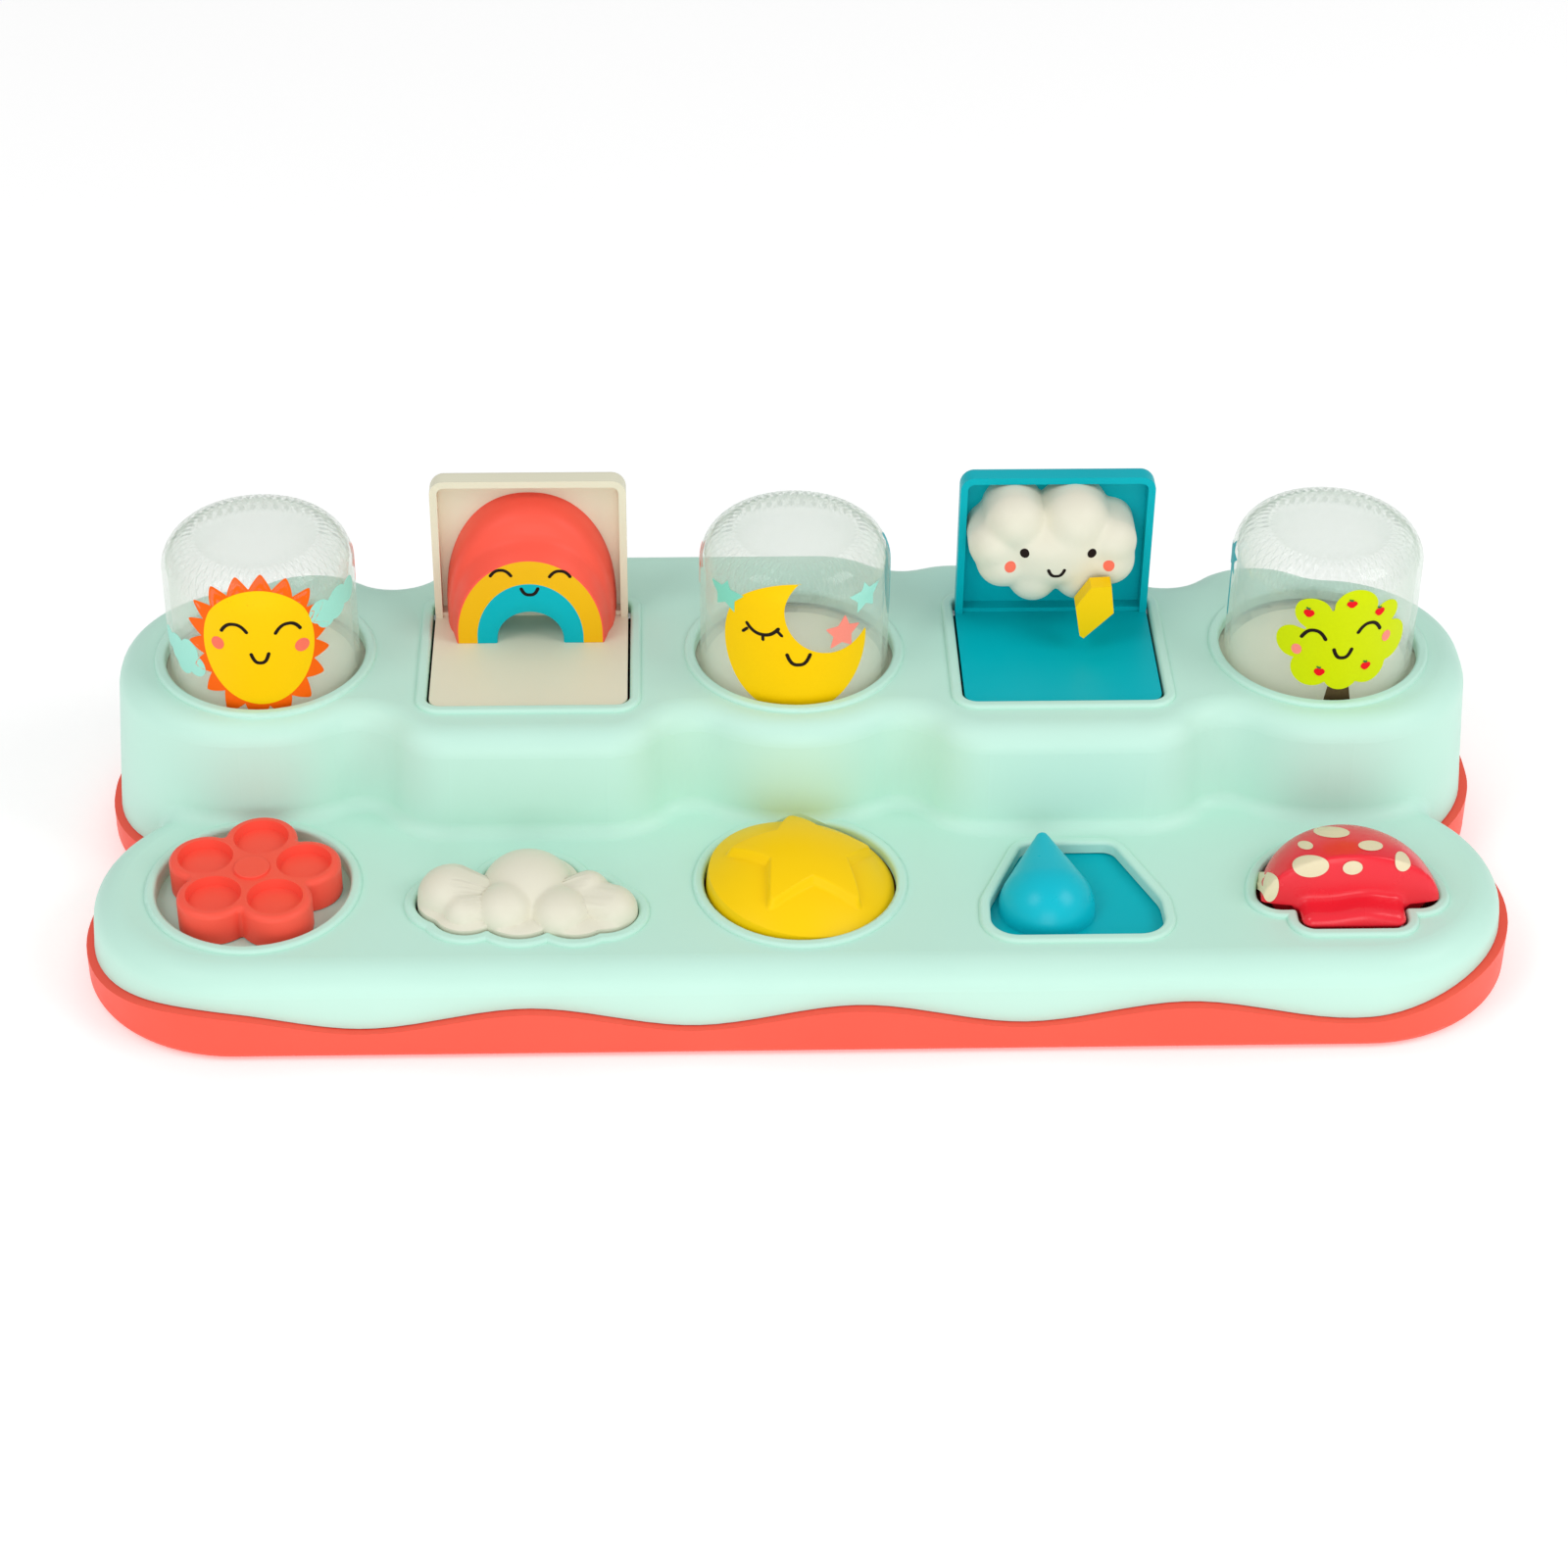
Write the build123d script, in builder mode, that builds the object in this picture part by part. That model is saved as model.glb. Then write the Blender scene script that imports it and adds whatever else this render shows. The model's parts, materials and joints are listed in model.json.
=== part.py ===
"""Pop-up toy with five pop-ups in a raised back row and five controls in front.

Three clear domes rise on springs, two hinged flaps spring open, and each is held
down by a latch bar that its own control pulls free. X runs along the toy, +Y to
the back, +Z up. The origin is on the ground at the middle of the base.
"""

from build123d import *
import os
from math import cos, pi, radians, sin, sqrt

os.makedirs("parts", exist_ok=True)

# ---------------------------------------------------------------- driving sizes
# Layout (mm)
station_pitch = 72.0
back_row_y = 24.0
row_gap = 64.7
end_reach = 44.0
body_length = 4 * station_pitch + 2 * end_reach
body_depth = 160.0
deck_z = 56.0
step_z = 26.0
stand_height = 0.8

# Moulded housing
wall = 2.4
draft = 4.5
deck_edge_radius = 7.0
step_edge_radius = 8.0
foot_radius = 4.0
front_tier_depth = 82.0
valley_radius = 9.0
seam_mean_z = 12.0
seam_swing = 2.9
seam_wave_length = 85.5
seam_crest_x = -71.0
base_proud = 1.3
base_wall = 3.4
base_edge_radius = 2.4
lip_thickness = 1.2
lip_rise = 3.0
lip_gap_y = -7.0
lip_gap_depth = 18.0
bead_width = 3.0
bead_height = 1.1
bead_depth = 3.0
bead_round = 1.0

# Clearances
slide_clearance = 0.4
face_clearance = 0.3
pin_clearance = 0.05

# Domes and their plungers
dome_opening_radius = 27.1
dome_body_radius = 25.65
dome_wall = 1.5
dome_rise = 41.0
dome_shoulder_radius = 10.0
dome_crown = 1.2
dome_flange_thickness = 1.0
dome_travel = 33.0
plunger_thickness = 2.4
sleeve_gap = 1.3
sleeve_wall = 1.6
sleeve_foot_z = 20.0
spigot_radius = 8.0
spigot_height = 4.0
dome_spring_radius = 9.6
dome_spring_wire = 1.4
dome_spring_turns = 8
cup_wall = 1.5
cup_height = 4.0
tongue_y = 0.0
tongue_width = 10.0
tongue_thickness = 2.4
tongue_length = 13.4
window_height = 3.6

# Flaps and the figures on them
flap_half_width = 26.6
flap_side_gap = 0.7
flap_pivot_y = 44.5
flap_pivot_z = 53.5
flap_reach = 46.4
flap_plate = 2.4
flap_back = 3.5
flap_rim_depth = 4.6
flap_rim_wall = 2.0
flap_corner_radius = 4.0
flap_bar_radius = 3.5
flap_back_round = 3.0
flap_ridge = 1.2
flap_axle_radius = 1.25
flap_spring_wire = 0.7
flap_spring_length = 12.0
flap_spring_turns = 13
lug_thickness = 3.0
lug_height = 6.0
lug_depth = 9.0
arch_half_width = 23.4
arch_height = 40.0
arch_depth = 17.3
arch_leg_height = 3.0
arch_brow_half_width = 20.6
arch_brow_height = 27.5
arch_bend_half_width = 22.7
arch_bend_height = 36.4
arch_bend_depth = 6.5
arch_mouth_half_width = 9.0
arch_mouth_height = 10.0
puff_depth = 19.0
bolt_depth = 5.0

# Controls
dial_recess_radius = 25.6
dial_recess_depth = 3.7
dial_petals = 5
dial_petal_offset = 13.8
dial_petal_radius = 9.6
petal_blend = 1.0
dial_dish_radius = 7.3
dial_dish_depth = 2.6
dial_dish_draft = 12.0
dial_height = 9.5
dial_boss_radius = 4.7
dial_boss_rise = 0.7
dial_edge_radius = 1.6
dial_phase = 12.6
dial_shaft_radius = 5.0
dial_turn = 50.0
cam_radius = 10.0
cam_thickness = 3.5
cloud_press = 4.0
cloud_blend = 1.2
cloud_flange = 1.8
cloud_spring_setback = 8.0
cloud_spring_x = 15.0
cloud_spring_radius = 2.6
cloud_spring_wire = 0.6
cloud_spring_turns = 8
puff_foot_z = 27.5
wedge_width = 4.0
star_opening_radius = 25.5
star_radius = 24.9
star_tilt = 7.0
star_skirt = 5.0
star_brim = 3.0
star_rise = 9.0
star_pivot_z = 24.0
star_point_radius = 17.5
star_waist_radius = 9.5
star_relief = 1.4
star_point_round = 1.5
star_points = 5
star_lug_gap = 1.0
star_lug_thickness = 2.0
slide_travel = 14.6
slide_plate = 2.0
slide_margin = 1.5
rail_width = 2.0
rail_drop = 3.0
retainer_thickness = 1.6
drop_radius = 12.8
drop_length = 22.4
drop_tip_radius = 1.8
drop_setback = 9.0
drop_lean = 25.0
mushroom_radius = 23.4
mushroom_setback = 9.0
mushroom_brim = 14.4
mushroom_corner = 5.5
mushroom_blend = 1.5
mushroom_rise = 15.0
cap_reach_x = 24.6
cap_reach_y = 15.4
cap_forward = 1.4
cap_ball_rise = 16.2
stem_width = 27.4
stem_depth = 14.0
stem_corner = 3.5
stem_setback = 15.6
stem_rise = 4.5
mushroom_tilt = 11.0
mushroom_pivot_setback = 18.0
mushroom_pivot_z = 22.0
mushroom_lug_x = 16.5
mushroom_arm_y = 11.7
mushroom_foot_gap = 2.4
button_gap = 0.6
skirt_wall = 2.0
control_axle_radius = 1.5
control_gap = 1.5

# Latches
latch_width = 14.0
latch_thickness = 2.0
latch_floor_gap = 3.8
latch_travel = 2.4
latch_front_y = -54.5
track_rear_y = -14.0
latch_spring_radius = 1.7
latch_spring_wire = 0.5
latch_spring_length = 7.0
latch_spring_turns = 7
nose_width = 4.0
nose_gap = 0.4
follower_thickness = 2.2
follower_height = 5.0
follower_width = 10.0
flap_post_rise = 43.0

# Screws and feet
screw_radius = 1.5
screw_head_radius = 2.8
screw_head_height = 1.6
boss_radius = 3.4
post_height = 5.5
screw_front_inset = 9.0
screw_back_y = 46.0
foot_pad_radius = 6.0
foot_pad_depth = 1.4
foot_pad_x = 158.0
foot_pad_front_y = -62.0
foot_pad_back_y = 56.0

# ---------------------------------------------------------------- worked-out places
front_row_y = back_row_y - row_gap
dome_x = {"left": -2 * station_pitch, "middle": 0.0, "right": 2 * station_pitch}
flap_x = {"cream": -station_pitch, "blue": station_pitch}
dial_x = -2 * station_pitch
cloud_x = -station_pitch
star_x = 0.0
slider_x = station_pitch
mushroom_x = 2 * station_pitch
floor_z = stand_height + wall
deck_under_z = deck_z - wall
step_under_z = step_z - wall
latch_z = floor_z + latch_floor_gap
latch_top_z = latch_z + latch_thickness
control_foot_z = latch_top_z + control_gap
half_length = body_length / 2
half_depth = body_depth / 2


# ---------------------------------------------------------------- plan outlines
# Lobes of the back tier: ends as side, depth and y; rounds as x, y and radius; squares as
# width, depth, corner radius, x and y
end_lobe = 84.0
end_lobe_corner = 38.9
end_lobes = ((-1, 80.0, 25.1), (1, 83.0, back_row_y))
round_lobes = ((-134.0, 44.0, 28.0), (131.0, 44.0, 28.0), (0.0, back_row_y, 41.5))
square_lobes = (
    (82.0, 82.0, 20.0, -station_pitch, 20.0),
    (82.0, 82.0, 20.0, station_pitch, 20.0),
    (148.0, half_depth, 30.0, -36.0, half_depth / 2),
    (91.0, 74.5, 30.0, 61.5, 37.25),
)


def rounded(width, depth, radius, x, y):
    """Rounded rectangle centred on (x, y), for use inside a sketch."""
    with Locations((x, y)):
        RectangleRounded(width, depth, radius)


def rear_outline(grow):
    """Ground outline of the raised back tier, a row of soft lobes, grown by `grow`."""
    end_x = half_length - end_lobe / 2
    with BuildSketch() as plan:
        for side, depth, y in end_lobes:
            rounded(end_lobe, depth, end_lobe_corner, side * end_x, y)
        for x, y, radius in round_lobes:
            with Locations((x, y)):
                Circle(radius)
        for width, depth, radius, x, y in square_lobes:
            rounded(width, depth, radius, x, y)
        offset(amount=valley_radius)
        offset(amount=grow - valley_radius)
    return plan.sketch


def front_outline(grow):
    """Ground outline of the low front tier, a long slot, grown by `grow`."""
    with BuildSketch() as plan:
        with Locations((0, front_tier_depth / 2 - half_depth)):
            SlotOverall(body_length, front_tier_depth)
        with Locations((0, back_row_y / 2)):
            Rectangle(body_length - 1.6 * station_pitch, back_row_y + front_tier_depth / 2)
        if grow:
            offset(amount=grow)
    return plan.sketch


def whole_outline(grow):
    """Ground outline of both tiers together, grown by `grow`."""
    with BuildSketch() as plan:
        add(rear_outline(0))
        add(front_outline(0))
        offset(amount=valley_radius)
        offset(amount=grow - valley_radius)
    return plan.sketch


def lip_outline(grow):
    """Ground outline of the inside of both tiers, valleys left sharp, grown by `grow`."""
    with BuildSketch() as plan:
        add(rear_outline(0))
        add(front_outline(0))
        offset(amount=grow)
    return plan.sketch


def flap_outline(x, grow):
    """Outline of a flap's opening, grown by `grow`."""
    front_y = flap_pivot_y - flap_reach - slide_clearance - grow
    back_y = flap_pivot_y + flap_back + flap_side_gap + grow
    width = 2 * (flap_half_width + flap_side_gap + grow)
    radius = flap_corner_radius + grow
    with BuildSketch() as plan:
        rounded(width, back_y - front_y, radius, x, (front_y + back_y) / 2)
    return plan.sketch


cloud_lobes = (
    (-19.0, -8.0, 9.5, 7.3),
    (-15.5, -13.0, 8.5, 5.5),
    (-1.5, -13.0, 10.3, 6.5),
    (13.0, -14.0, 9.5, 6.0),
    (20.0, -12.5, 8.8, 6.3),
    (1.0, -2.0, 13.0, 9.2),
    (16.0, -5.0, 6.5, 6.5),
)


def cloud_outline(grow):
    """Outline of the cloud button: one circle for each puff, cusps softened."""
    with BuildSketch() as plan:
        for x, y, radius, rise in cloud_lobes:
            with Locations((cloud_x + x, front_row_y + y)):
                Circle(radius)
        offset(amount=cloud_blend)
        offset(amount=grow - cloud_blend)
    return plan.sketch


slot_points = ((-23.0, -24.3), (-22.5, -10.0), (-12.0, 14.2))
slot_radii = (7.0, 10.0, 4.0)


def slot_outline(grow):
    """Outline of the slider's window: wide at the front, narrow at the back."""
    left = [(slider_x + x, front_row_y + y) for x, y in slot_points]
    right = [(slider_x - x, front_row_y + y) for x, y in reversed(slot_points)]
    radii = slot_radii + tuple(reversed(slot_radii))
    with BuildSketch() as plan:
        with BuildLine():
            FilletPolyline(*left, *right, radius=radii, close=True)
        make_face()
        if grow:
            offset(amount=grow)
    return plan.sketch


def mushroom_outline(grow):
    """Outline of the mushroom: a half-round cap over a short stem."""
    with BuildSketch() as plan:
        with Locations((mushroom_x, front_row_y - mushroom_setback)):
            Circle(mushroom_radius)
        with Locations((mushroom_x, front_row_y - mushroom_brim - mushroom_radius)):
            Rectangle(3 * mushroom_radius, 2 * mushroom_radius, mode=Mode.SUBTRACT)
        fillet(plan.vertices(), mushroom_corner)
        rounded(stem_width, stem_depth, stem_corner, mushroom_x, front_row_y - stem_setback)
        offset(amount=mushroom_blend)
        offset(amount=grow - mushroom_blend)
    return plan.sketch


def disc_outline(x, y, radius):
    """Round outline."""
    with BuildSketch() as plan:
        with Locations((x, y)):
            Circle(radius)
    return plan.sketch


def slab(outline, low, high, slope=0.0):
    """Solid of a plan outline between two heights."""
    with BuildPart() as block:
        add(Pos(0, 0, low) * outline)
        extrude(amount=high - low, taper=slope)
    return block.part


def tier(outline, top, edge_radius):
    """Drafted block standing on the ground plane with a rounded top edge."""
    with BuildPart() as block:
        add(outline)
        extrude(amount=top, taper=draft)
        fillet(block.faces().sort_by(Axis.Z)[-1].edges(), edge_radius)
    return block.part


def bead(inner, outer, top):
    """Raised rounded lip around an opening."""
    with BuildPart() as lip:
        add(Pos(0, 0, top - bead_depth) * (outer - inner))
        extrude(amount=bead_depth + bead_height)
        fillet(lip.faces().sort_by(Axis.Z)[-1].edges(), bead_round)
    return lip.part


def seam_z(x):
    """Height of the wavy seam between the two mouldings: a cosine along X."""
    return seam_mean_z + seam_swing * cos(2 * pi * (x - seam_crest_x) / seam_wave_length)


def below_seam(lift):
    """Everything under the wavy seam raised by `lift`."""
    quarter = seam_wave_length / 4
    steps = int(body_length / quarter)
    knots = [seam_crest_x + quarter * n for n in range(-steps, steps + 1)]
    reach = half_depth + 2 * base_proud
    with BuildPart() as zone:
        with BuildSketch(Plane.XZ):
            with BuildLine():
                crest = Spline([(x, seam_z(x) + lift) for x in knots])
                Polyline(crest @ 1, (knots[-1], -deck_z), (knots[0], -deck_z), crest @ 0)
            make_face()
        extrude(amount=reach, both=True)
    return zone.part


def coil(seat, radius, wire, length, turns):
    """Compression spring standing on `seat` and running along its normal."""
    axis = seat.z_dir
    start = seat.origin + axis * (wire / 2)
    with BuildPart() as spring:
        with BuildLine() as path:
            rise = length - wire
            Helix(pitch=rise / turns, height=rise, radius=radius, center=start, direction=axis)
        with BuildSketch(Plane(origin=path.line @ 0, z_dir=path.line % 0)):
            Circle(wire / 2)
        sweep(is_frenet=True)
    return spring.part


# ---------------------------------------------------------------- top shell
back_row = ("dome_left", "dome_middle", "dome_right", "flap_cream", "flap_blue")
front_row = ("dial", "cloud", "star", "slot", "mushroom")


def opening_outline(name, grow):
    """Outline of one of the ten openings of the shell, grown by `grow`."""
    kind, _, which = name.partition("_")
    if kind == "dome":
        return disc_outline(dome_x[which], back_row_y, dome_opening_radius + grow)
    if kind == "flap":
        return flap_outline(flap_x[which], grow)
    if kind == "dial":
        return disc_outline(dial_x, front_row_y, dial_recess_radius + grow)
    if kind == "cloud":
        return cloud_outline(button_gap + grow)
    if kind == "star":
        return disc_outline(star_x, front_row_y, star_opening_radius + grow)
    if kind == "slot":
        return slot_outline(grow)
    return mushroom_outline(button_gap + grow)


beads = []
for name in back_row:
    beads.append(bead(opening_outline(name, 0), opening_outline(name, bead_width), deck_z))
for name in front_row:
    beads.append(bead(opening_outline(name, 0), opening_outline(name, bead_width), step_z))

sleeve_radius = dome_opening_radius + sleeve_gap
screw_front_y = screw_front_inset - body_depth / 2
screw_spots = []
for between in (-1.5, -0.5, 0.5, 1.5):
    screw_spots.append((between * station_pitch, screw_front_y))
    screw_spots.append((between * station_pitch, screw_back_y))
boss_foot_z = floor_z + post_height
star_lug_y = star_opening_radius + star_lug_gap + star_lug_thickness / 2
mushroom_pivot_y = front_row_y - mushroom_pivot_setback
slide_front_y = front_row_y + slot_points[0][1] - slide_margin
slide_back_y = front_row_y + slot_points[2][1] + slide_margin
slide_reach = -slot_points[0][0] + slide_margin
slide_top_z = step_under_z - slide_clearance
slide_under_z = slide_top_z - slide_plate
rail_gap = slide_clearance + rail_width / 2

rear_outer = tier(rear_outline(0), deck_z, deck_edge_radius)
front_outer = tier(front_outline(0), step_z, step_edge_radius)
rear_cavity = tier(rear_outline(-wall), deck_under_z, deck_edge_radius - wall)
front_cavity = tier(front_outline(-wall), step_under_z, step_edge_radius - wall)
seam_cut = below_seam(face_clearance / 2)

with BuildPart() as top_shell:
    add(rear_outer)
    add(front_outer)
    fillet(top_shell.edges().filter_by_position(Axis.Z, step_z, step_z), foot_radius)
    add(beads)
    add(rear_cavity, mode=Mode.SUBTRACT)
    add(front_cavity, mode=Mode.SUBTRACT)
    # Sleeves that guide the plungers
    for x in dome_x.values():
        with BuildSketch(Plane.XY.offset(sleeve_foot_z)):
            with Locations((x, back_row_y)):
                Circle(sleeve_radius + sleeve_wall)
        extrude(amount=deck_under_z - sleeve_foot_z)
        with BuildSketch(Plane.XY.offset(sleeve_foot_z)):
            with Locations((x, back_row_y)):
                Circle(sleeve_radius)
        extrude(amount=deck_under_z - sleeve_foot_z, mode=Mode.SUBTRACT)
    # Dish under the flower dial
    with BuildSketch(Plane.XY.offset(step_z - dial_recess_depth - wall)):
        with Locations((dial_x, front_row_y)):
            Circle(dial_recess_radius + wall)
    extrude(amount=dial_recess_depth + wall / 2)
    # Lugs that carry the flap axles
    for x in flap_x.values():
        lug_x = flap_half_width + flap_side_gap + lug_thickness / 2
        with BuildSketch(Plane.XY.offset(deck_under_z - lug_height)):
            with Locations((x - lug_x, flap_pivot_y), (x + lug_x, flap_pivot_y)):
                Rectangle(lug_thickness, lug_depth)
        extrude(amount=lug_height)
    # Lugs under the star rocker, the mushroom and the rails of the slider
    with BuildSketch(Plane.XY.offset(step_under_z - lug_height)):
        with Locations((star_x, front_row_y - star_lug_y), (star_x, front_row_y + star_lug_y)):
            Rectangle(2 * lug_thickness, star_lug_thickness)
        with Locations((mushroom_x - mushroom_lug_x, mushroom_pivot_y)):
            Rectangle(lug_thickness, 2 * lug_thickness)
        with Locations((mushroom_x + mushroom_lug_x, mushroom_pivot_y)):
            Rectangle(lug_thickness, 2 * lug_thickness)
    extrude(amount=lug_height)
    with BuildSketch(Plane.XY.offset(step_under_z - rail_drop)):
        with Locations((slider_x, slide_front_y - rail_gap), (slider_x, slide_back_y + rail_gap)):
            Rectangle(2 * slide_reach + slide_travel, rail_width)
    extrude(amount=rail_drop)
    # Screw bosses
    with BuildSketch(Plane.XY.offset(boss_foot_z)):
        with Locations(*[spot for spot in screw_spots if spot[1] < 0]):
            Circle(boss_radius)
    extrude(amount=step_under_z - boss_foot_z)
    with BuildSketch(Plane.XY.offset(boss_foot_z)):
        with Locations(*[spot for spot in screw_spots if spot[1] > 0]):
            Circle(boss_radius)
    extrude(amount=deck_under_z - boss_foot_z)
    # Openings and bores
    for name in back_row:
        low = deck_under_z - face_clearance
        add(slab(opening_outline(name, 0), low, deck_z + 2 * bead_height), mode=Mode.SUBTRACT)
    for name in front_row:
        low = step_z - dial_recess_depth if name == "dial" else step_under_z - face_clearance
        add(slab(opening_outline(name, 0), low, deck_z + 2 * bead_height), mode=Mode.SUBTRACT)
    with BuildSketch(Plane.XY.offset(sleeve_foot_z - wall)):
        with Locations((dial_x, front_row_y)):
            Circle(dial_shaft_radius + pin_clearance)
    extrude(amount=step_z - sleeve_foot_z, mode=Mode.SUBTRACT)
    for x in flap_x.values():
        with BuildSketch(Plane.YZ.offset(x)):
            with Locations((flap_pivot_y, flap_pivot_z)):
                Circle(flap_axle_radius + pin_clearance)
        extrude(amount=flap_half_width + 2 * lug_thickness, both=True, mode=Mode.SUBTRACT)
    with BuildSketch(Plane.XZ.offset(-front_row_y)):
        with Locations((star_x, star_pivot_z)):
            Circle(control_axle_radius + pin_clearance)
    extrude(amount=star_lug_y + star_lug_thickness, both=True, mode=Mode.SUBTRACT)
    with BuildSketch(Plane.YZ.offset(mushroom_x)):
        with Locations((mushroom_pivot_y, mushroom_pivot_z)):
            Circle(control_axle_radius + pin_clearance)
    extrude(amount=mushroom_lug_x + lug_thickness, both=True, mode=Mode.SUBTRACT)
    with BuildSketch(Plane.XY.offset(boss_foot_z)):
        with Locations(*screw_spots):
            Circle(screw_radius)
    extrude(amount=post_height + wall, mode=Mode.SUBTRACT)
    add(seam_cut, mode=Mode.SUBTRACT)
top_shell.part.label = "top_shell"
export_step(top_shell.part, "parts/top_shell.step")

# ---------------------------------------------------------------- base tray
track_half = latch_width / 2 + slide_clearance + wall
spring_stop_y = latch_front_y - latch_spring_length - 2 * face_clearance
seat_inner = dome_spring_radius + dome_spring_wire / 2 + slide_clearance
pads = []
for x in (-foot_pad_x, 0.0, foot_pad_x):
    pads.append((x, foot_pad_front_y))
    pads.append((x, foot_pad_back_y))
cloud_spring_y = front_row_y - cloud_spring_setback
station_xs = [n * station_pitch for n in (-2, -1, 0, 1, 2)]
tray_outer = slab(whole_outline(base_proud), stand_height, step_z)
tray_inner = slab(whole_outline(base_proud - base_wall), floor_z, deck_z)
lip_outer = slab(lip_outline(-wall - base_proud - face_clearance), floor_z, deck_z)
lip_inner = slab(lip_outline(-wall - base_proud - face_clearance - lip_thickness), floor_z, deck_z)
lip_cut = below_seam(lip_rise)
wall_cut = below_seam(-face_clearance / 2)
with BuildPart() as lip_gaps:
    # Breaks in the lip where the two tiers of the shell meet at the ends
    with BuildSketch(Plane.XY.offset(floor_z)):
        with Locations((-half_length, lip_gap_y), (half_length, lip_gap_y)):
            Rectangle(end_reach, lip_gap_depth)
    extrude(amount=deck_z)

with BuildPart() as base_tray:
    add(tray_outer)
    fillet(base_tray.faces().sort_by(Axis.Z)[0].edges(), base_edge_radius)
    add(tray_inner, mode=Mode.SUBTRACT)
    add(wall_cut, mode=Mode.INTERSECT)
    add((lip_outer - lip_inner - lip_gaps.part) & lip_cut)
    # Tracks for the five latch bars and a stop behind each latch spring
    with BuildSketch(Plane.XY.offset(floor_z)):
        for x in station_xs:
            with Locations((x, (latch_front_y + track_rear_y) / 2)):
                Rectangle(2 * track_half, track_rear_y - latch_front_y)
            with Locations((x, spring_stop_y - wall / 2)):
                Rectangle(latch_width, wall)
    extrude(amount=latch_top_z - floor_z)
    with BuildSketch(Plane.XY.offset(latch_z - face_clearance)):
        for x in station_xs:
            with Locations((x, (latch_front_y + track_rear_y) / 2)):
                Rectangle(2 * track_half - 2 * wall, 2 * (track_rear_y - latch_front_y))
    extrude(amount=latch_top_z, mode=Mode.SUBTRACT)
    with BuildSketch(Plane.XY.offset(floor_z)):
        for x in station_xs:
            with Locations((x, spring_stop_y - wall / 2)):
                Rectangle(latch_width, wall)
    extrude(amount=latch_top_z - floor_z)
    # Cups for the dome springs
    with BuildSketch(Plane.XY.offset(floor_z)):
        for x in dome_x.values():
            with Locations((x, back_row_y)):
                Circle(seat_inner + cup_wall)
                Circle(seat_inner, mode=Mode.SUBTRACT)
    extrude(amount=cup_height)
    # Posts under the screws and under the cloud button's springs
    with BuildSketch(Plane.XY.offset(floor_z)):
        with Locations(*screw_spots):
            Circle(boss_radius)
        for side in (-1, 1):
            with Locations((cloud_x + side * cloud_spring_x, cloud_spring_y)):
                Circle(boss_radius)
    extrude(amount=post_height - face_clearance)
    with BuildSketch(Plane.XY.offset(stand_height)):
        with Locations(*screw_spots):
            Circle(screw_radius + pin_clearance)
    extrude(amount=post_height + wall, mode=Mode.SUBTRACT)
    with BuildSketch(Plane.XY.offset(stand_height)):
        with Locations(*screw_spots):
            Circle(screw_head_radius + face_clearance)
    extrude(amount=screw_head_height + face_clearance + pin_clearance, mode=Mode.SUBTRACT)
    # Pockets for the rubber feet
    with BuildSketch(Plane.XY.offset(stand_height)):
        with Locations(*pads):
            Circle(foot_pad_radius + pin_clearance)
    extrude(amount=foot_pad_depth - stand_height, mode=Mode.SUBTRACT)
base_tray.part.label = "base_tray"
export_step(base_tray.part, "parts/base_tray.step")

with BuildPart() as rubber_feet:
    with BuildSketch():
        with Locations(*pads):
            Circle(foot_pad_radius)
    extrude(amount=foot_pad_depth)
rubber_feet.part.label = "rubber_feet"
export_step(rubber_feet.part, "parts/rubber_feet.step")

screw_top_z = boss_foot_z + post_height
with BuildPart() as base_screws:
    with BuildSketch(Plane.XY.offset(stand_height + face_clearance)):
        with Locations(*screw_spots):
            Circle(screw_head_radius)
    extrude(amount=screw_head_height)
    with BuildSketch(Plane.XY.offset(stand_height + face_clearance)):
        with Locations(*screw_spots):
            Circle(screw_radius - pin_clearance)
    extrude(amount=screw_top_z - stand_height)
base_screws.part.label = "base_screws"
export_step(base_screws.part, "parts/base_screws.step")

# ---------------------------------------------------------------- domes
plunger_radius = sleeve_radius - face_clearance
plunger_top_z = deck_under_z - face_clearance - dome_flange_thickness
plunger_under_z = plunger_top_z - plunger_thickness
dome_foot_z = plunger_top_z
dome_top = deck_z + dome_rise - dome_foot_z
shoulder_x = dome_body_radius - dome_shoulder_radius
shoulder_z = dome_top - dome_crown - dome_shoulder_radius
inside_x = dome_body_radius - dome_wall
ceiling_z = dome_top - dome_crown - dome_wall
crown_sphere = (shoulder_x**2 + dome_crown**2) / (2 * dome_crown)
crown_knee_z = dome_top - crown_sphere + sqrt(crown_sphere**2 - (shoulder_x / 2) ** 2)
spring_seat_z = plunger_under_z - face_clearance

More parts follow.
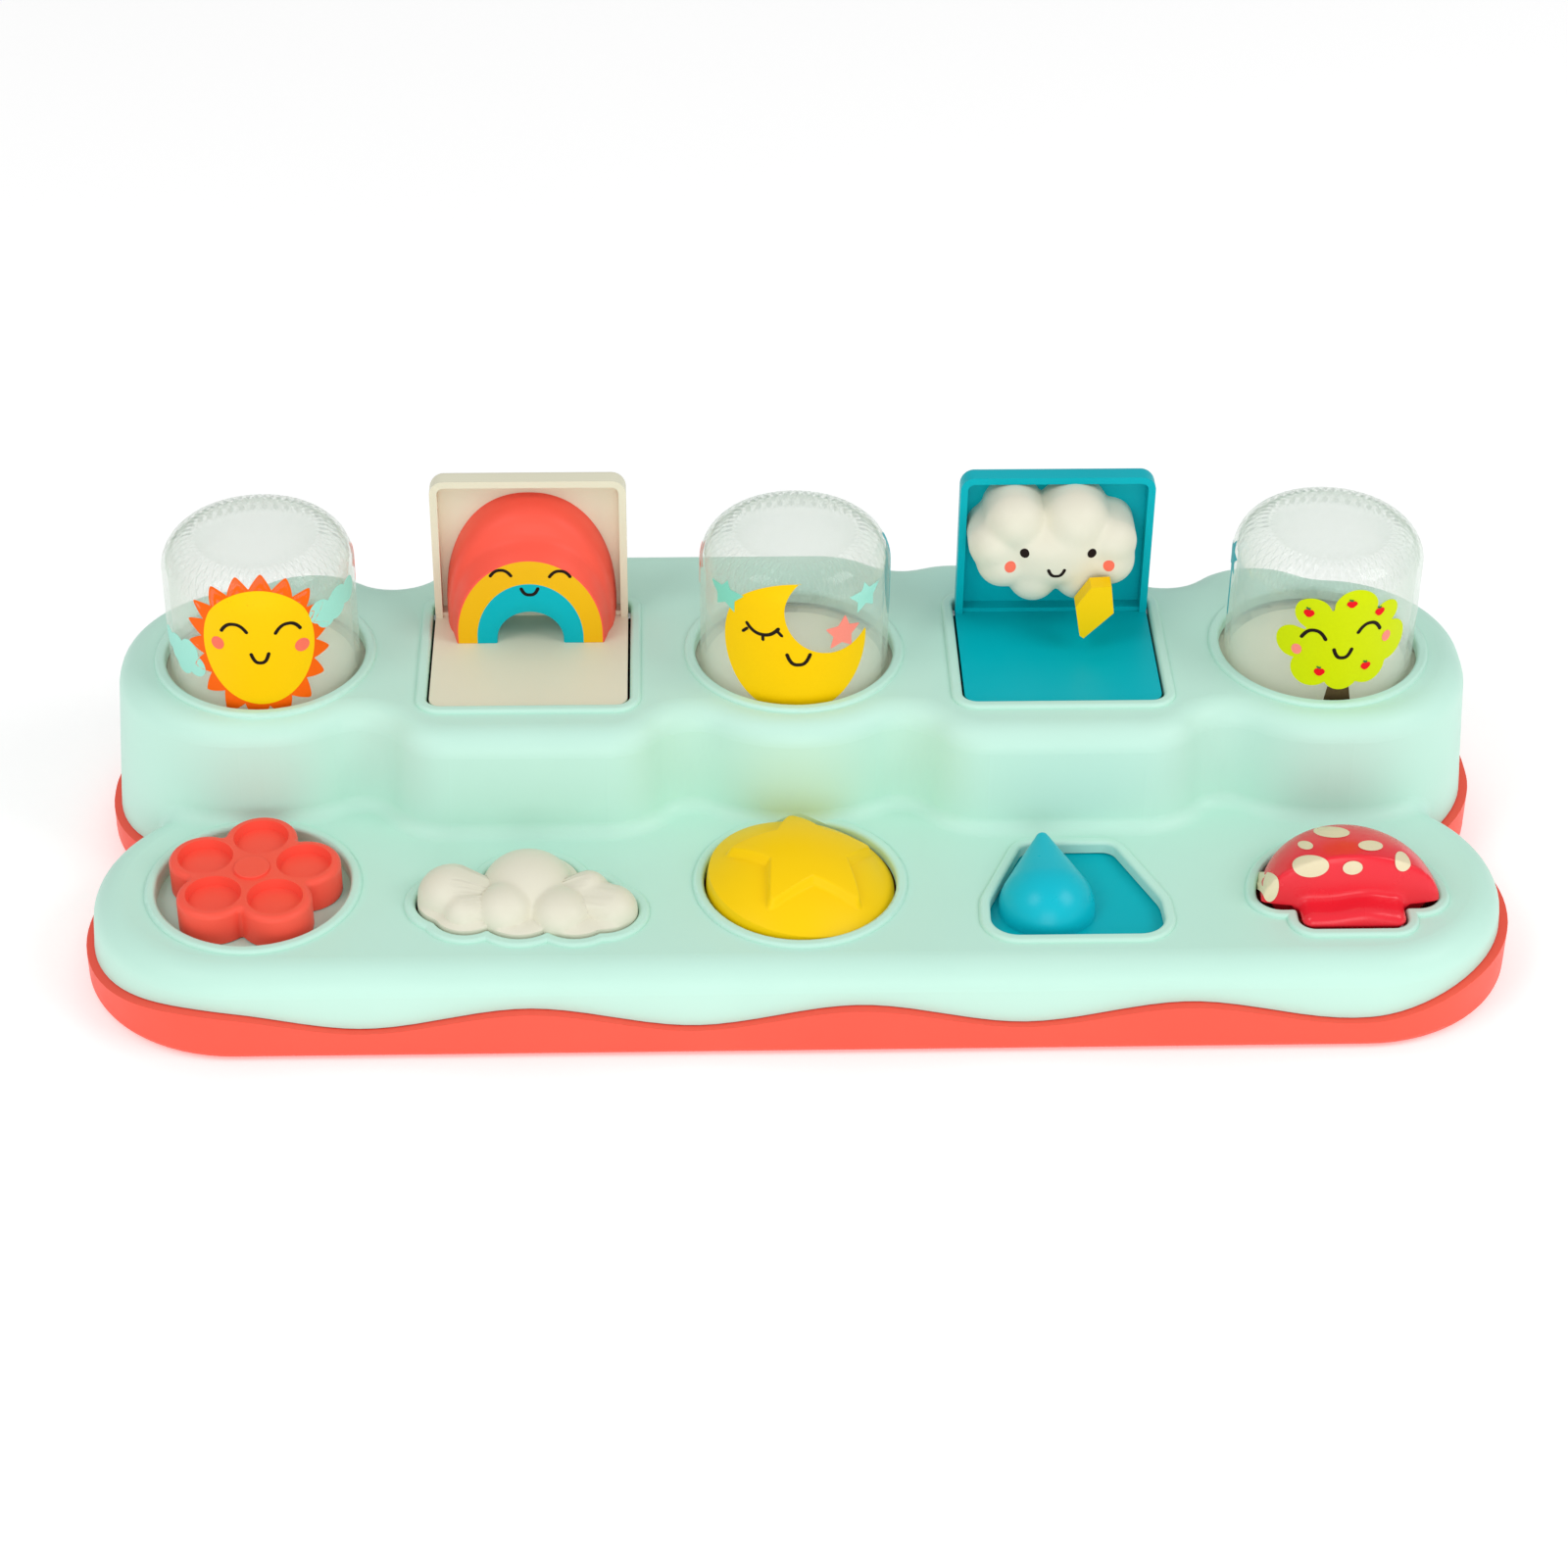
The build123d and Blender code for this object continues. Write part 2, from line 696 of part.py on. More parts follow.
for side, x in dome_x.items():
    axis_plane = Plane(origin=(x, back_row_y, dome_foot_z), x_dir=(1, 0, 0), z_dir=(0, -1, 0))
    with BuildPart() as dome:
        with BuildSketch(axis_plane):
            with BuildLine():
                flange = Polyline((inside_x, 0), (plunger_radius, 0), (plunger_radius, dome_flange_thickness))
                step_corner = (dome_body_radius, dome_flange_thickness)
                step = Polyline(flange @ 1, step_corner, (dome_body_radius, shoulder_z))
                bend = RadiusArc(step @ 1, (shoulder_x, dome_top - dome_crown), -dome_shoulder_radius)
                crown = ThreePointArc(bend @ 1, (shoulder_x / 2, crown_knee_z), (0, dome_top))
                ceiling = Polyline(crown @ 1, (0, ceiling_z), (shoulder_x, ceiling_z))
                inner_bend = RadiusArc(ceiling @ 1, (inside_x, shoulder_z), dome_shoulder_radius - dome_wall)
                Line(inner_bend @ 1, flange @ 0)
            make_face()
        revolve(axis=Axis((x, back_row_y, 0), (0, 0, 1)))
    dome.part.label = f"dome_{side}"
    export_step(dome.part, f"parts/dome_{side}.step")

    with BuildPart() as plunger:
        with BuildSketch(Plane.XY.offset(plunger_under_z)):
            with Locations((x, back_row_y)):
                Circle(plunger_radius)
        extrude(amount=plunger_thickness)
        with BuildSketch(Plane.XY.offset(plunger_under_z)):
            with Locations((x, back_row_y)):
                Circle(spigot_radius)
                Circle(spigot_radius - cup_wall, mode=Mode.SUBTRACT)
        extrude(amount=-spigot_height)
        with BuildSketch(Plane.XY.offset(plunger_under_z)):
            with Locations((x, tongue_y)):
                Rectangle(tongue_width, tongue_thickness)
        extrude(amount=-tongue_length)
        window_z = latch_z + dome_travel + latch_thickness / 2
        with BuildSketch(Plane.XZ.offset(-tongue_y)):
            with Locations((x, window_z)):
                Rectangle(nose_width + 2 * slide_clearance, window_height)
        extrude(amount=tongue_thickness, both=True, mode=Mode.SUBTRACT)
    plunger.part.label = f"plunger_{side}"
    export_step(plunger.part, f"parts/plunger_{side}.step")

    seat = Plane(origin=(x, back_row_y, floor_z + pin_clearance))
    length = spring_seat_z - floor_z
    spring = coil(seat, dome_spring_radius, dome_spring_wire, length, dome_spring_turns)
    spring.label = f"dome_spring_{side}"
    export_step(spring, f"parts/dome_spring_{side}.step")

# ---------------------------------------------------------------- flaps
flap_front_y = flap_pivot_y - flap_reach
flap_back_y = flap_pivot_y + flap_back
flap_top_z = flap_pivot_z + flap_reach
lid_front_y = flap_back_y - flap_plate
plate_under_z = deck_z - flap_plate
spring_room = flap_axle_radius + 2 * flap_spring_wire + face_clearance

for colour, x in flap_x.items():
    with BuildPart() as lid:
        # Shallow tray standing at the back
        with BuildSketch(Plane.XZ.offset(-flap_back_y)):
            height = flap_top_z - plate_under_z
            with Locations((x, plate_under_z + height / 2)):
                RectangleRounded(2 * flap_half_width, height, flap_corner_radius)
        extrude(amount=flap_rim_depth + flap_plate)
        fillet(lid.faces().sort_by(Axis.Y)[-1].edges(), flap_back_round)
        with BuildSketch(Plane.XZ.offset(-lid_front_y)):
            inner_height = flap_top_z - deck_z - flap_rim_wall
            with Locations((x, deck_z + inner_height / 2)):
                RectangleRounded(2 * flap_half_width - 2 * flap_rim_wall, inner_height, flap_rim_wall)
            with Locations((x, deck_z + inner_height / 4)):
                Rectangle(2 * flap_half_width - 2 * flap_rim_wall, inner_height / 2)
        extrude(amount=2 * flap_rim_depth, mode=Mode.SUBTRACT)

    with BuildPart() as flap:
        add(lid.part)
        # Floor plate that closes the opening while the flap stands open
        with BuildSketch(Plane.XY.offset(plate_under_z)):
            depth = flap_back_y - flap_front_y
            middle_y = (flap_back_y + flap_front_y) / 2
            rounded(2 * flap_half_width, depth, flap_corner_radius, x, middle_y)
        extrude(amount=flap_plate)
        # Round hinge bar under the corner, bored for the axle and its spring
        with BuildSketch(Plane.YZ.offset(x)):
            with Locations((flap_pivot_y, flap_pivot_z)):
                Circle(flap_bar_radius)
        extrude(amount=flap_half_width - flap_back_round, both=True)
        with BuildSketch(Plane.XY.offset(deck_z)):
            with Locations((x, lid_front_y - flap_bar_radius / 2)):
                Rectangle(2 * flap_half_width - 2 * flap_rim_wall, flap_bar_radius)
        extrude(amount=flap_ridge)
        with BuildSketch(Plane.YZ.offset(x)):
            with Locations((flap_pivot_y, flap_pivot_z)):
                Circle(flap_axle_radius + pin_clearance)
        extrude(amount=2 * flap_half_width, both=True, mode=Mode.SUBTRACT)
        with BuildSketch(Plane.YZ.offset(x)):
            with Locations((flap_pivot_y, flap_pivot_z)):
                Circle(spring_room)
        extrude(amount=flap_spring_length / 2 + face_clearance, both=True, mode=Mode.SUBTRACT)
    flap.part.label = f"flap_{colour}"
    export_step(flap.part, f"parts/flap_{colour}.step")

    with BuildPart() as flap_axle:
        with BuildSketch(Plane.YZ.offset(x)):
            with Locations((flap_pivot_y, flap_pivot_z)):
                Circle(flap_axle_radius)
        extrude(amount=flap_half_width + flap_side_gap + lug_thickness, both=True)
    flap_axle.part.label = f"flap_axle_{colour}"
    export_step(flap_axle.part, f"parts/flap_axle_{colour}.step")

    seat = Plane(origin=(x - flap_spring_length / 2, flap_pivot_y, flap_pivot_z), z_dir=(1, 0, 0))
    coil_radius = flap_axle_radius + pin_clearance + flap_spring_wire / 2
    spring = coil(seat, coil_radius, flap_spring_wire, flap_spring_length, flap_spring_turns)
    spring.label = f"flap_spring_{colour}"
    export_step(spring, f"parts/flap_spring_{colour}.step")

# ---------------------------------------------------------------- figures on the flaps
rainbow_x = flap_x["cream"]
arch_foot_z = deck_z + pin_clearance
arch_front_y = lid_front_y - arch_depth
mouth_spring_z = arch_foot_z + arch_mouth_height - arch_mouth_half_width
# Setback from the front, half width and height of the arch at the brow, the bend and the lid
arch_profiles = (
    (0.0, arch_brow_half_width, arch_brow_height),
    (arch_bend_depth, arch_bend_half_width, arch_bend_height),
    (arch_depth, arch_half_width, arch_height),
)

with BuildPart() as rainbow_figure:
    for setback, half_width, height in arch_profiles:
        with BuildSketch(Plane.XZ.offset(-arch_front_y - setback)):
            with Locations((rainbow_x, arch_foot_z + arch_leg_height)):
                Ellipse(half_width, height - arch_leg_height)
                Rectangle(2 * half_width, height, align=(Align.CENTER, Align.MAX), mode=Mode.SUBTRACT)
                Rectangle(2 * half_width, arch_leg_height, align=(Align.CENTER, Align.MAX))
    loft()
    # Mouth of the arch and the notch over the hinge ridge
    with BuildSketch(Plane.XZ.offset(-lid_front_y)):
        with Locations((rainbow_x, mouth_spring_z)):
            Circle(arch_mouth_half_width)
        with Locations((rainbow_x, (arch_foot_z + mouth_spring_z) / 2)):
            Rectangle(2 * arch_mouth_half_width, mouth_spring_z - arch_foot_z)
    extrude(amount=arch_depth, mode=Mode.SUBTRACT)
    with BuildSketch(Plane.XY.offset(arch_foot_z)):
        with Locations((rainbow_x, lid_front_y - flap_bar_radius / 2)):
            Rectangle(2 * flap_half_width, flap_bar_radius + 2 * face_clearance)
    extrude(amount=flap_ridge, mode=Mode.SUBTRACT)
rainbow_figure.part.label = "rainbow_figure"
export_step(rainbow_figure.part, "parts/rainbow_figure.step")

# Puffs of the cloud figure: place along X, height and radius of each
cloud_figure_x = flap_x["blue"]
cloud_puffs = (
    (-12.0, 90.6, 8.2),
    (4.5, 89.4, 9.5),
    (14.4, 84.0, 7.0),
    (14.2, 78.0, 7.0),
    (-17.2, 83.0, 7.2),
    (-15.0, 77.5, 7.0),
    (-2.0, 80.0, 10.5),
    (-6.5, 72.8, 6.8),
    (6.0, 73.2, 6.8),
)
puff_front_y = lid_front_y - puff_depth
with BuildPart() as cloud_figure:
    with BuildSketch(Plane.XZ.offset(-lid_front_y)):
        for x, z, radius in cloud_puffs:
            with Locations((cloud_figure_x + x, z)):
                Circle(radius - flap_rim_wall)
    extrude(amount=puff_depth / 2)
    for x, z, radius in cloud_puffs:
        with Locations((cloud_figure_x + x, puff_front_y + radius, z)):
            Sphere(radius)
    split(bisect_by=Plane.XZ.offset(-lid_front_y), keep=Keep.TOP)
cloud_figure.part.label = "cloud_figure"
export_step(cloud_figure.part, "parts/cloud_figure.step")

bolt_points = ((8.2, 77.1), (13.7, 77.4), (14.8, 68.8), (7.0, 60.6), (5.9, 61.5), (4.3, 70.8))
bolt_back_y = puff_front_y - pin_clearance
with BuildPart() as lightning_bolt:
    with BuildSketch(Plane.XZ.offset(-bolt_back_y)):
        with BuildLine():
            Polyline([(cloud_figure_x + x, z) for x, z in bolt_points], close=True)
        make_face()
    extrude(amount=bolt_depth)
lightning_bolt.part.label = "lightning_bolt"
export_step(lightning_bolt.part, "parts/lightning_bolt.step")

# ---------------------------------------------------------------- flower dial
dial_foot_z = step_z - dial_recess_depth + face_clearance
dial_top_z = dial_foot_z + dial_height


def dial_outline(grow):
    """Outline of the flower: petals round a centre disc, cusps softened."""
    with BuildSketch() as plan:
        with Locations((dial_x, front_row_y)):
            with PolarLocations(dial_petal_offset, dial_petals, start_angle=dial_phase):
                Circle(dial_petal_radius)
            Circle(dial_petal_offset)
        offset(amount=petal_blend)
        offset(amount=grow - petal_blend)
    return plan.sketch


with BuildPart() as flower_dial:
    add(slab(dial_outline(0), dial_foot_z, dial_top_z))
    fillet(flower_dial.faces().sort_by(Axis.Z)[-1].edges(), dial_edge_radius)
    dial_room_top = dial_top_z - dial_dish_depth - skirt_wall
    add(slab(dial_outline(-skirt_wall), dial_foot_z, dial_room_top), mode=Mode.SUBTRACT)
    # Pockets in the petals and the boss between them
    with BuildSketch(Plane.XY.offset(dial_top_z)):
        with Locations((dial_x, front_row_y)):
            with PolarLocations(dial_petal_offset, dial_petals, start_angle=dial_phase):
                Circle(dial_dish_radius)
    extrude(amount=-dial_dish_depth, taper=dial_dish_draft, mode=Mode.SUBTRACT)
    with BuildSketch(Plane.XY.offset(dial_top_z - dial_dish_depth)):
        with Locations((dial_x, front_row_y)):
            Circle(dial_boss_radius)
    extrude(amount=dial_dish_depth + dial_boss_rise)
    fillet(flower_dial.faces().sort_by(Axis.Z)[-1].edges(), dial_boss_rise / 2)
    with BuildSketch(Plane.XY.offset(control_foot_z)):
        with Locations((dial_x, front_row_y)):
            Circle(dial_shaft_radius)
    extrude(amount=dial_top_z - skirt_wall - control_foot_z)
flower_dial.part.label = "flower_dial"
export_step(flower_dial.part, "parts/flower_dial.step")

# Eccentric disc under the dial: its throw gives the latch travel over the dial's turn
cam_throw = latch_travel / sin(radians(dial_turn))
with BuildPart() as dial_cam:
    with BuildSketch(Plane.XY.offset(control_foot_z)):
        with Locations((dial_x + cam_throw, front_row_y)):
            Circle(cam_radius)
        with Locations((dial_x, front_row_y)):
            Circle(dial_shaft_radius + pin_clearance, mode=Mode.SUBTRACT)
    extrude(amount=cam_thickness)
dial_cam.part.label = "dial_cam"
export_step(dial_cam.part, "parts/dial_cam.step")

# ---------------------------------------------------------------- cloud button
cloud_foot_z = step_under_z - face_clearance - skirt_wall
post_top_z = floor_z + post_height - face_clearance
wedge_tip_z = latch_top_z + cloud_press + nose_gap
wedge_slope = latch_travel / cloud_press
cloud_spring_xs = (cloud_x - cloud_spring_x, cloud_x + cloud_spring_x)


def puff_caps(shrink, low):
    """Puffs of the cloud button above a height, each a cap of its own sphere made smaller."""
    with BuildPart() as caps:
        for x, y, radius, rise in cloud_lobes:
            puff_sphere = (radius**2 + rise**2) / (2 * rise)
            with Locations((cloud_x + x, front_row_y + y, puff_foot_z + rise - puff_sphere)):
                Sphere(puff_sphere - shrink)
        split(bisect_by=Plane.XY.offset(low), keep=Keep.TOP)
    return caps.part


wedge_back_y = front_row_y + skirt_wall
wedge_front_y = front_row_y + nose_gap
wedge_top_y = wedge_front_y - wedge_slope * (puff_foot_z - wedge_tip_z)
with BuildPart() as button_ribs:
    # Posts that sit on the return springs, and the root of the wedge
    with BuildSketch(Plane.XY.offset(cloud_foot_z)):
        with Locations(*[(x, cloud_spring_y) for x in cloud_spring_xs]):
            Circle(boss_radius)
        with Locations((cloud_x, (wedge_back_y + wedge_top_y) / 2)):
            Rectangle(wedge_width, wedge_back_y - wedge_top_y)
    extrude(amount=deck_z - cloud_foot_z)
with BuildPart() as button_room:
    add(puff_caps(skirt_wall, puff_foot_z - skirt_wall - face_clearance))
    add(slab(cloud_outline(-skirt_wall), cloud_foot_z, deck_z), mode=Mode.INTERSECT)
    add(slab(cloud_outline(-skirt_wall), cloud_foot_z, puff_foot_z - skirt_wall))
    add(button_ribs.part, mode=Mode.SUBTRACT)
with BuildPart() as cloud_button:
    add(slab(cloud_outline(0), cloud_foot_z, puff_foot_z))
    add(slab(cloud_outline(cloud_flange), cloud_foot_z, cloud_foot_z + skirt_wall))
    add(puff_caps(0, puff_foot_z))
    add(button_room.part, mode=Mode.SUBTRACT)
    # The wedge that pushes the latch replaces the lower part of its root
    with BuildSketch(Plane.YZ.offset(cloud_x - wedge_width / 2)):
        with BuildLine():
            tip = Polyline((wedge_back_y, wedge_tip_z), (wedge_front_y, wedge_tip_z))
            face = Line(tip @ 1, (wedge_top_y, puff_foot_z))
            Polyline(face @ 1, (wedge_back_y, puff_foot_z), tip @ 0)
        make_face()
    extrude(amount=wedge_width)
cloud_button.part.label = "cloud_button"
export_step(cloud_button.part, "parts/cloud_button.step")

cloud_springs = []
for x in cloud_spring_xs:
    seat = Plane(origin=(x, cloud_spring_y, post_top_z + pin_clearance))
    length = cloud_foot_z - post_top_z - 2 * pin_clearance
    cloud_springs.append(coil(seat, cloud_spring_radius, cloud_spring_wire, length, cloud_spring_turns))
cloud_button_springs = Compound(label="cloud_button_springs", children=cloud_springs)
export_step(cloud_button_springs, "parts/cloud_button_springs.step")

# ---------------------------------------------------------------- star rocker
star_level = Plane(origin=(star_x, front_row_y, star_pivot_z)).rotated((0, star_tilt, 0))
star_profile = Plane(origin=star_level.origin, x_dir=star_level.x_dir, z_dir=-star_level.y_dir)
star_side = Plane(origin=star_level.origin, x_dir=star_level.x_dir, z_dir=star_level.y_dir)
star_axis = Axis(star_level.origin, star_level.z_dir)
brim_x = sqrt(star_radius**2 - star_brim**2)
skirt_x = sqrt(star_radius**2 - star_skirt**2)
star_sphere = (brim_x**2 + star_rise**2) / (2 * star_rise)
star_top = star_brim + star_rise
fin_drop = star_pivot_z - control_foot_z
fin_half = follower_width / 2 - slide_clearance
fin_sweep = 2 * fin_drop * sin(radians(star_tilt))
star_slope = latch_travel / fin_sweep


def star_cap(shrink):
    """Half profile of the rocker's dished shell, shrunk towards its inside."""
    cap_radius = star_sphere - shrink
    edge_x = brim_x - shrink
    edge_z = star_top - star_sphere + sqrt(cap_radius**2 - edge_x**2)
    knee_z = star_top - star_sphere + sqrt(cap_radius**2 - edge_x**2 / 4)
    with BuildSketch() as half:
        with BuildLine():
            foot = Line((0, -star_skirt), (skirt_x - shrink, -star_skirt))
            side = ThreePointArc(foot @ 1, (star_radius - shrink, 0), (edge_x, edge_z))
            cap = ThreePointArc(side @ 1, (edge_x / 2, knee_z), (0, star_top - shrink))
            Line(cap @ 1, foot @ 0)
        make_face()
    return half.sketch


star_corners = []
for corner in range(2 * star_points):
    corner_radius = star_waist_radius if corner % 2 else star_point_radius
    bearing = pi / 2 + pi * (corner - 2) / star_points
    star_corners.append((corner_radius * cos(bearing), corner_radius * sin(bearing)))

with BuildPart() as raised_star:
    with BuildSketch(star_level):
        with BuildLine():
            FilletPolyline(*star_corners, radius=star_point_round, close=True)
        make_face()
    extrude(amount=2 * star_top)
    star_centre = star_level.origin + star_level.z_dir * (star_top - star_sphere)
    with Locations(star_centre):
        Sphere(star_sphere + star_relief, mode=Mode.INTERSECT)

with BuildPart() as star_rocker:
    with BuildSketch(star_profile):
        add(star_cap(0))
    revolve(axis=star_axis)
    add(raised_star.part)
    with BuildSketch(star_profile):
        add(star_cap(skirt_wall))
    revolve(axis=star_axis, mode=Mode.SUBTRACT)
    # Bar bored for the axle, and the fin that sweeps across the latch
    with BuildSketch(star_side):
        Circle(2 * control_axle_radius)
    extrude(amount=star_radius - skirt_wall / 2, both=True)
    with BuildSketch(star_level.offset(-fin_drop)):
        with BuildLine():
            near = (-fin_half, -star_slope * fin_half)
            far = (fin_half, star_slope * fin_half)
            Polyline(near, far, (fin_half, fin_half), (-fin_half, fin_half), close=True)
        make_face()
    extrude(amount=fin_drop)
    with BuildSketch(star_side):
        Circle(control_axle_radius + pin_clearance)
    extrude(amount=2 * star_radius, both=True, mode=Mode.SUBTRACT)
star_rocker.part.label = "star_rocker"
export_step(star_rocker.part, "parts/star_rocker.step")

with BuildPart() as star_axle:
    with BuildSketch(star_side):
        Circle(control_axle_radius)
    extrude(amount=star_lug_y + star_lug_thickness / 2, both=True)
star_axle.part.label = "star_axle"
export_step(star_axle.part, "parts/star_axle.step")

# ---------------------------------------------------------------- drop slider
slide_rest_x = slider_x - slide_travel / 2
slide_middle_y = (slide_front_y + slide_back_y) / 2
slide_depth = slide_back_y - slide_front_y
slide_slope = latch_travel / slide_travel
rib_rear = follower_width / 2 + slide_travel
rib_front = follower_width / 2
rib_depth = 2 * follower_thickness
retainer_top_z = step_under_z - rail_drop - pin_clearance
retainer_width = 2 * slide_reach + slide_travel
window_half = rib_rear + face_clearance + slide_clearance
drop_y = front_row_y - drop_setback
drop_rise = (0, cos(radians(drop_lean)), sin(radians(drop_lean)))
drop_plane = Plane(
    origin=(slide_rest_x, drop_y, slide_top_z),
    x_dir=(1, 0, 0),
    z_dir=(0, -drop_rise[2], drop_rise[1]),
)

with BuildPart() as slide_plate_part:
    with BuildSketch(Plane.XY.offset(slide_under_z)):
        rounded(2 * slide_reach + slide_travel, slide_depth, slide_margin, slide_rest_x, slide_middle_y)
    extrude(amount=slide_plate)
    # Slanted rib that works the latch
    with BuildSketch(Plane.XY.offset(control_foot_z)):
        with BuildLine():
            rear = (slider_x - rib_rear, front_row_y - slide_slope * rib_rear)
            front = (slider_x + rib_front, front_row_y + slide_slope * rib_front)
            rib_back_y = front_row_y + rib_depth
            Polyline(rear, front, (front[0], rib_back_y), (rear[0], rib_back_y), close=True)
        make_face()
    extrude(amount=slide_under_z - control_foot_z)
slide_plate_part.part.label = "slide_plate"
export_step(slide_plate_part.part, "parts/slide_plate.step")

# Teardrop leaning back from the plate, its tip raised behind
with BuildPart() as drop_grip:
    with BuildSketch(drop_plane):
        Circle(drop_radius)
        with Locations((0, drop_length - drop_tip_radius)):
            Circle(drop_tip_radius)
        make_hull()
        with Locations((-drop_radius, 0)):
            Rectangle(2 * drop_radius, 4 * drop_length, mode=Mode.SUBTRACT)
    revolve(axis=Axis(drop_plane.origin, drop_rise))
    split(bisect_by=Plane.XY.offset(slide_top_z), keep=Keep.TOP)
drop_grip.part.label = "drop_grip"
export_step(drop_grip.part, "parts/drop_grip.step")

with BuildPart() as slide_retainer:
    with BuildSketch(Plane.XY.offset(retainer_top_z)):
        rail_reach = slide_depth + 2 * rail_gap + rail_width
        rounded(retainer_width, rail_reach, slide_margin, slider_x, slide_middle_y)
        with Locations((slider_x, front_row_y)):
            Rectangle(2 * window_half, 4 * rib_depth, mode=Mode.SUBTRACT)
    extrude(amount=-retainer_thickness)
slide_retainer.part.label = "slide_retainer"
export_step(slide_retainer.part, "parts/slide_retainer.step")

# ---------------------------------------------------------------- mushroom rocker
mushroom_foot_z = step_under_z - mushroom_foot_gap
cap_foot_z = puff_foot_z
arm_y = mushroom_pivot_y + mushroom_arm_y
arm_foot_z = latch_top_z + mushroom_arm_y * sin(radians(mushroom_tilt)) + face_clearance
pivot_plane = Plane.YZ.offset(mushroom_x)
cap_ball_radius = (mushroom_radius**2 + cap_ball_rise**2) / (2 * cap_ball_rise)


def cap_dome(shrink):
    """Flattened ball that rounds the cap, trimmed by a ball through its half-round rim."""
    reach = (cap_reach_x - shrink, cap_reach_y - shrink, mushroom_rise - shrink)
    flattened = Pos(mushroom_x, front_row_y - cap_forward, cap_foot_z) * scale(Sphere(1.0), by=reach)
    ball_z = cap_foot_z + cap_ball_rise - cap_ball_radius
    ball = Pos(mushroom_x, front_row_y - mushroom_setback, ball_z) * Sphere(cap_ball_radius - shrink)
    return flattened & ball


cap_outside = cap_dome(0)
cap_inside = cap_dome(skirt_wall)


def mushroom_cap(dome, shrink, low):
    """Domed cap of the mushroom above a height, made smaller by `shrink`."""
    with BuildPart() as cap:
        add(slab(mushroom_outline(-shrink), low, deck_z))
        with BuildSketch(Plane.XY.offset(low)):
            with Locations((mushroom_x, front_row_y - mushroom_brim - mushroom_radius + shrink)):
                Rectangle(3 * mushroom_radius, 2 * mushroom_radius)
        extrude(amount=deck_z, mode=Mode.SUBTRACT)
        add(dome, mode=Mode.INTERSECT)
    return cap.part


with BuildPart() as mushroom_room:
    add(slab(mushroom_outline(-skirt_wall), mushroom_foot_z, cap_foot_z - skirt_wall))
    add(mushroom_cap(cap_inside, skirt_wall, cap_foot_z - skirt_wall - face_clearance))
    with BuildSketch(pivot_plane):
        with Locations((arm_y, deck_z / 2)):
            Rectangle(skirt_wall, deck_z)
    extrude(amount=follower_width / 2, both=True, mode=Mode.SUBTRACT)

with BuildPart() as mushroom_rocker:
    add(slab(mushroom_outline(0), mushroom_foot_z, cap_foot_z))
    fillet(mushroom_rocker.faces().sort_by(Axis.Z)[-1].edges(), bead_round)
    add(mushroom_cap(cap_outside, 0, cap_foot_z - bead_round))
    with BuildSketch(Plane.XY.offset(mushroom_foot_z)):
        shank_width = stem_width - 2 * bead_round
        shank_depth = stem_depth - 2 * bead_round
        stem_y = front_row_y - stem_setback
        rounded(shank_width, shank_depth, stem_corner - bead_round / 2, mushroom_x, stem_y)
    extrude(amount=cap_foot_z + stem_rise - mushroom_foot_z)
    add(mushroom_room.part, mode=Mode.SUBTRACT)
    # Bar on the axle, and the arm that pushes the latch
    with BuildSketch(pivot_plane):
        with Locations((mushroom_pivot_y, mushroom_pivot_z)):
            Circle(2 * control_axle_radius)
    extrude(amount=stem_width / 2 - skirt_wall / 2, both=True)
    with BuildSketch(pivot_plane):
        with Locations((arm_y, (arm_foot_z + cap_foot_z) / 2)):
            Rectangle(skirt_wall, cap_foot_z - arm_foot_z)
    extrude(amount=follower_width / 2, both=True)
    with BuildSketch(pivot_plane):
        with Locations((mushroom_pivot_y, mushroom_pivot_z)):
            Circle(control_axle_radius + pin_clearance)
    extrude(amount=stem_width, both=True, mode=Mode.SUBTRACT)
mushroom_rocker.part.label = "mushroom_rocker"
export_step(mushroom_rocker.part, "parts/mushroom_rocker.step")

with BuildPart() as mushroom_axle:
    with BuildSketch(pivot_plane):
        with Locations((mushroom_pivot_y, mushroom_pivot_z)):
            Circle(control_axle_radius)
    extrude(amount=mushroom_lug_x + lug_thickness / 2, both=True)
mushroom_axle.part.label = "mushroom_axle"
export_step(mushroom_axle.part, "parts/mushroom_axle.step")

# ---------------------------------------------------------------- latches
nose_tip_y = tongue_y - tongue_thickness / 2 - nose_gap
flap_nose_y = flap_front_y - face_clearance - 2 * face_clearance
flap_post_y = flap_nose_y - nose_width - follower_thickness
block_foot_z = latch_top_z
block_half = follower_width / 2
face_gap = 1.5 * nose_gap
cam_face_y = front_row_y - cam_radius - nose_gap
arm_face_y = arm_y - skirt_wall / 2 - nose_gap
wedge_face_y = front_row_y - wedge_slope * (block_foot_z - wedge_tip_z)
ramp_rise = cloud_foot_z - cloud_press - face_clearance - block_foot_z


def slanted_block(x, slope, gap):
    """Plan outline of a block whose back face climbs along X by `slope`, `gap` short of it."""
    with BuildSketch() as plan:
        with BuildLine():
            left_y = front_row_y - slope * block_half - gap
            right_y = front_row_y + slope * block_half - gap
            front_y = left_y - follower_thickness
            left = Polyline((x - block_half, front_y), (x - block_half, left_y), (x + block_half, right_y))
            Polyline(left @ 1, (x + block_half, front_y), left @ 0)
        make_face()
    return plan.sketch


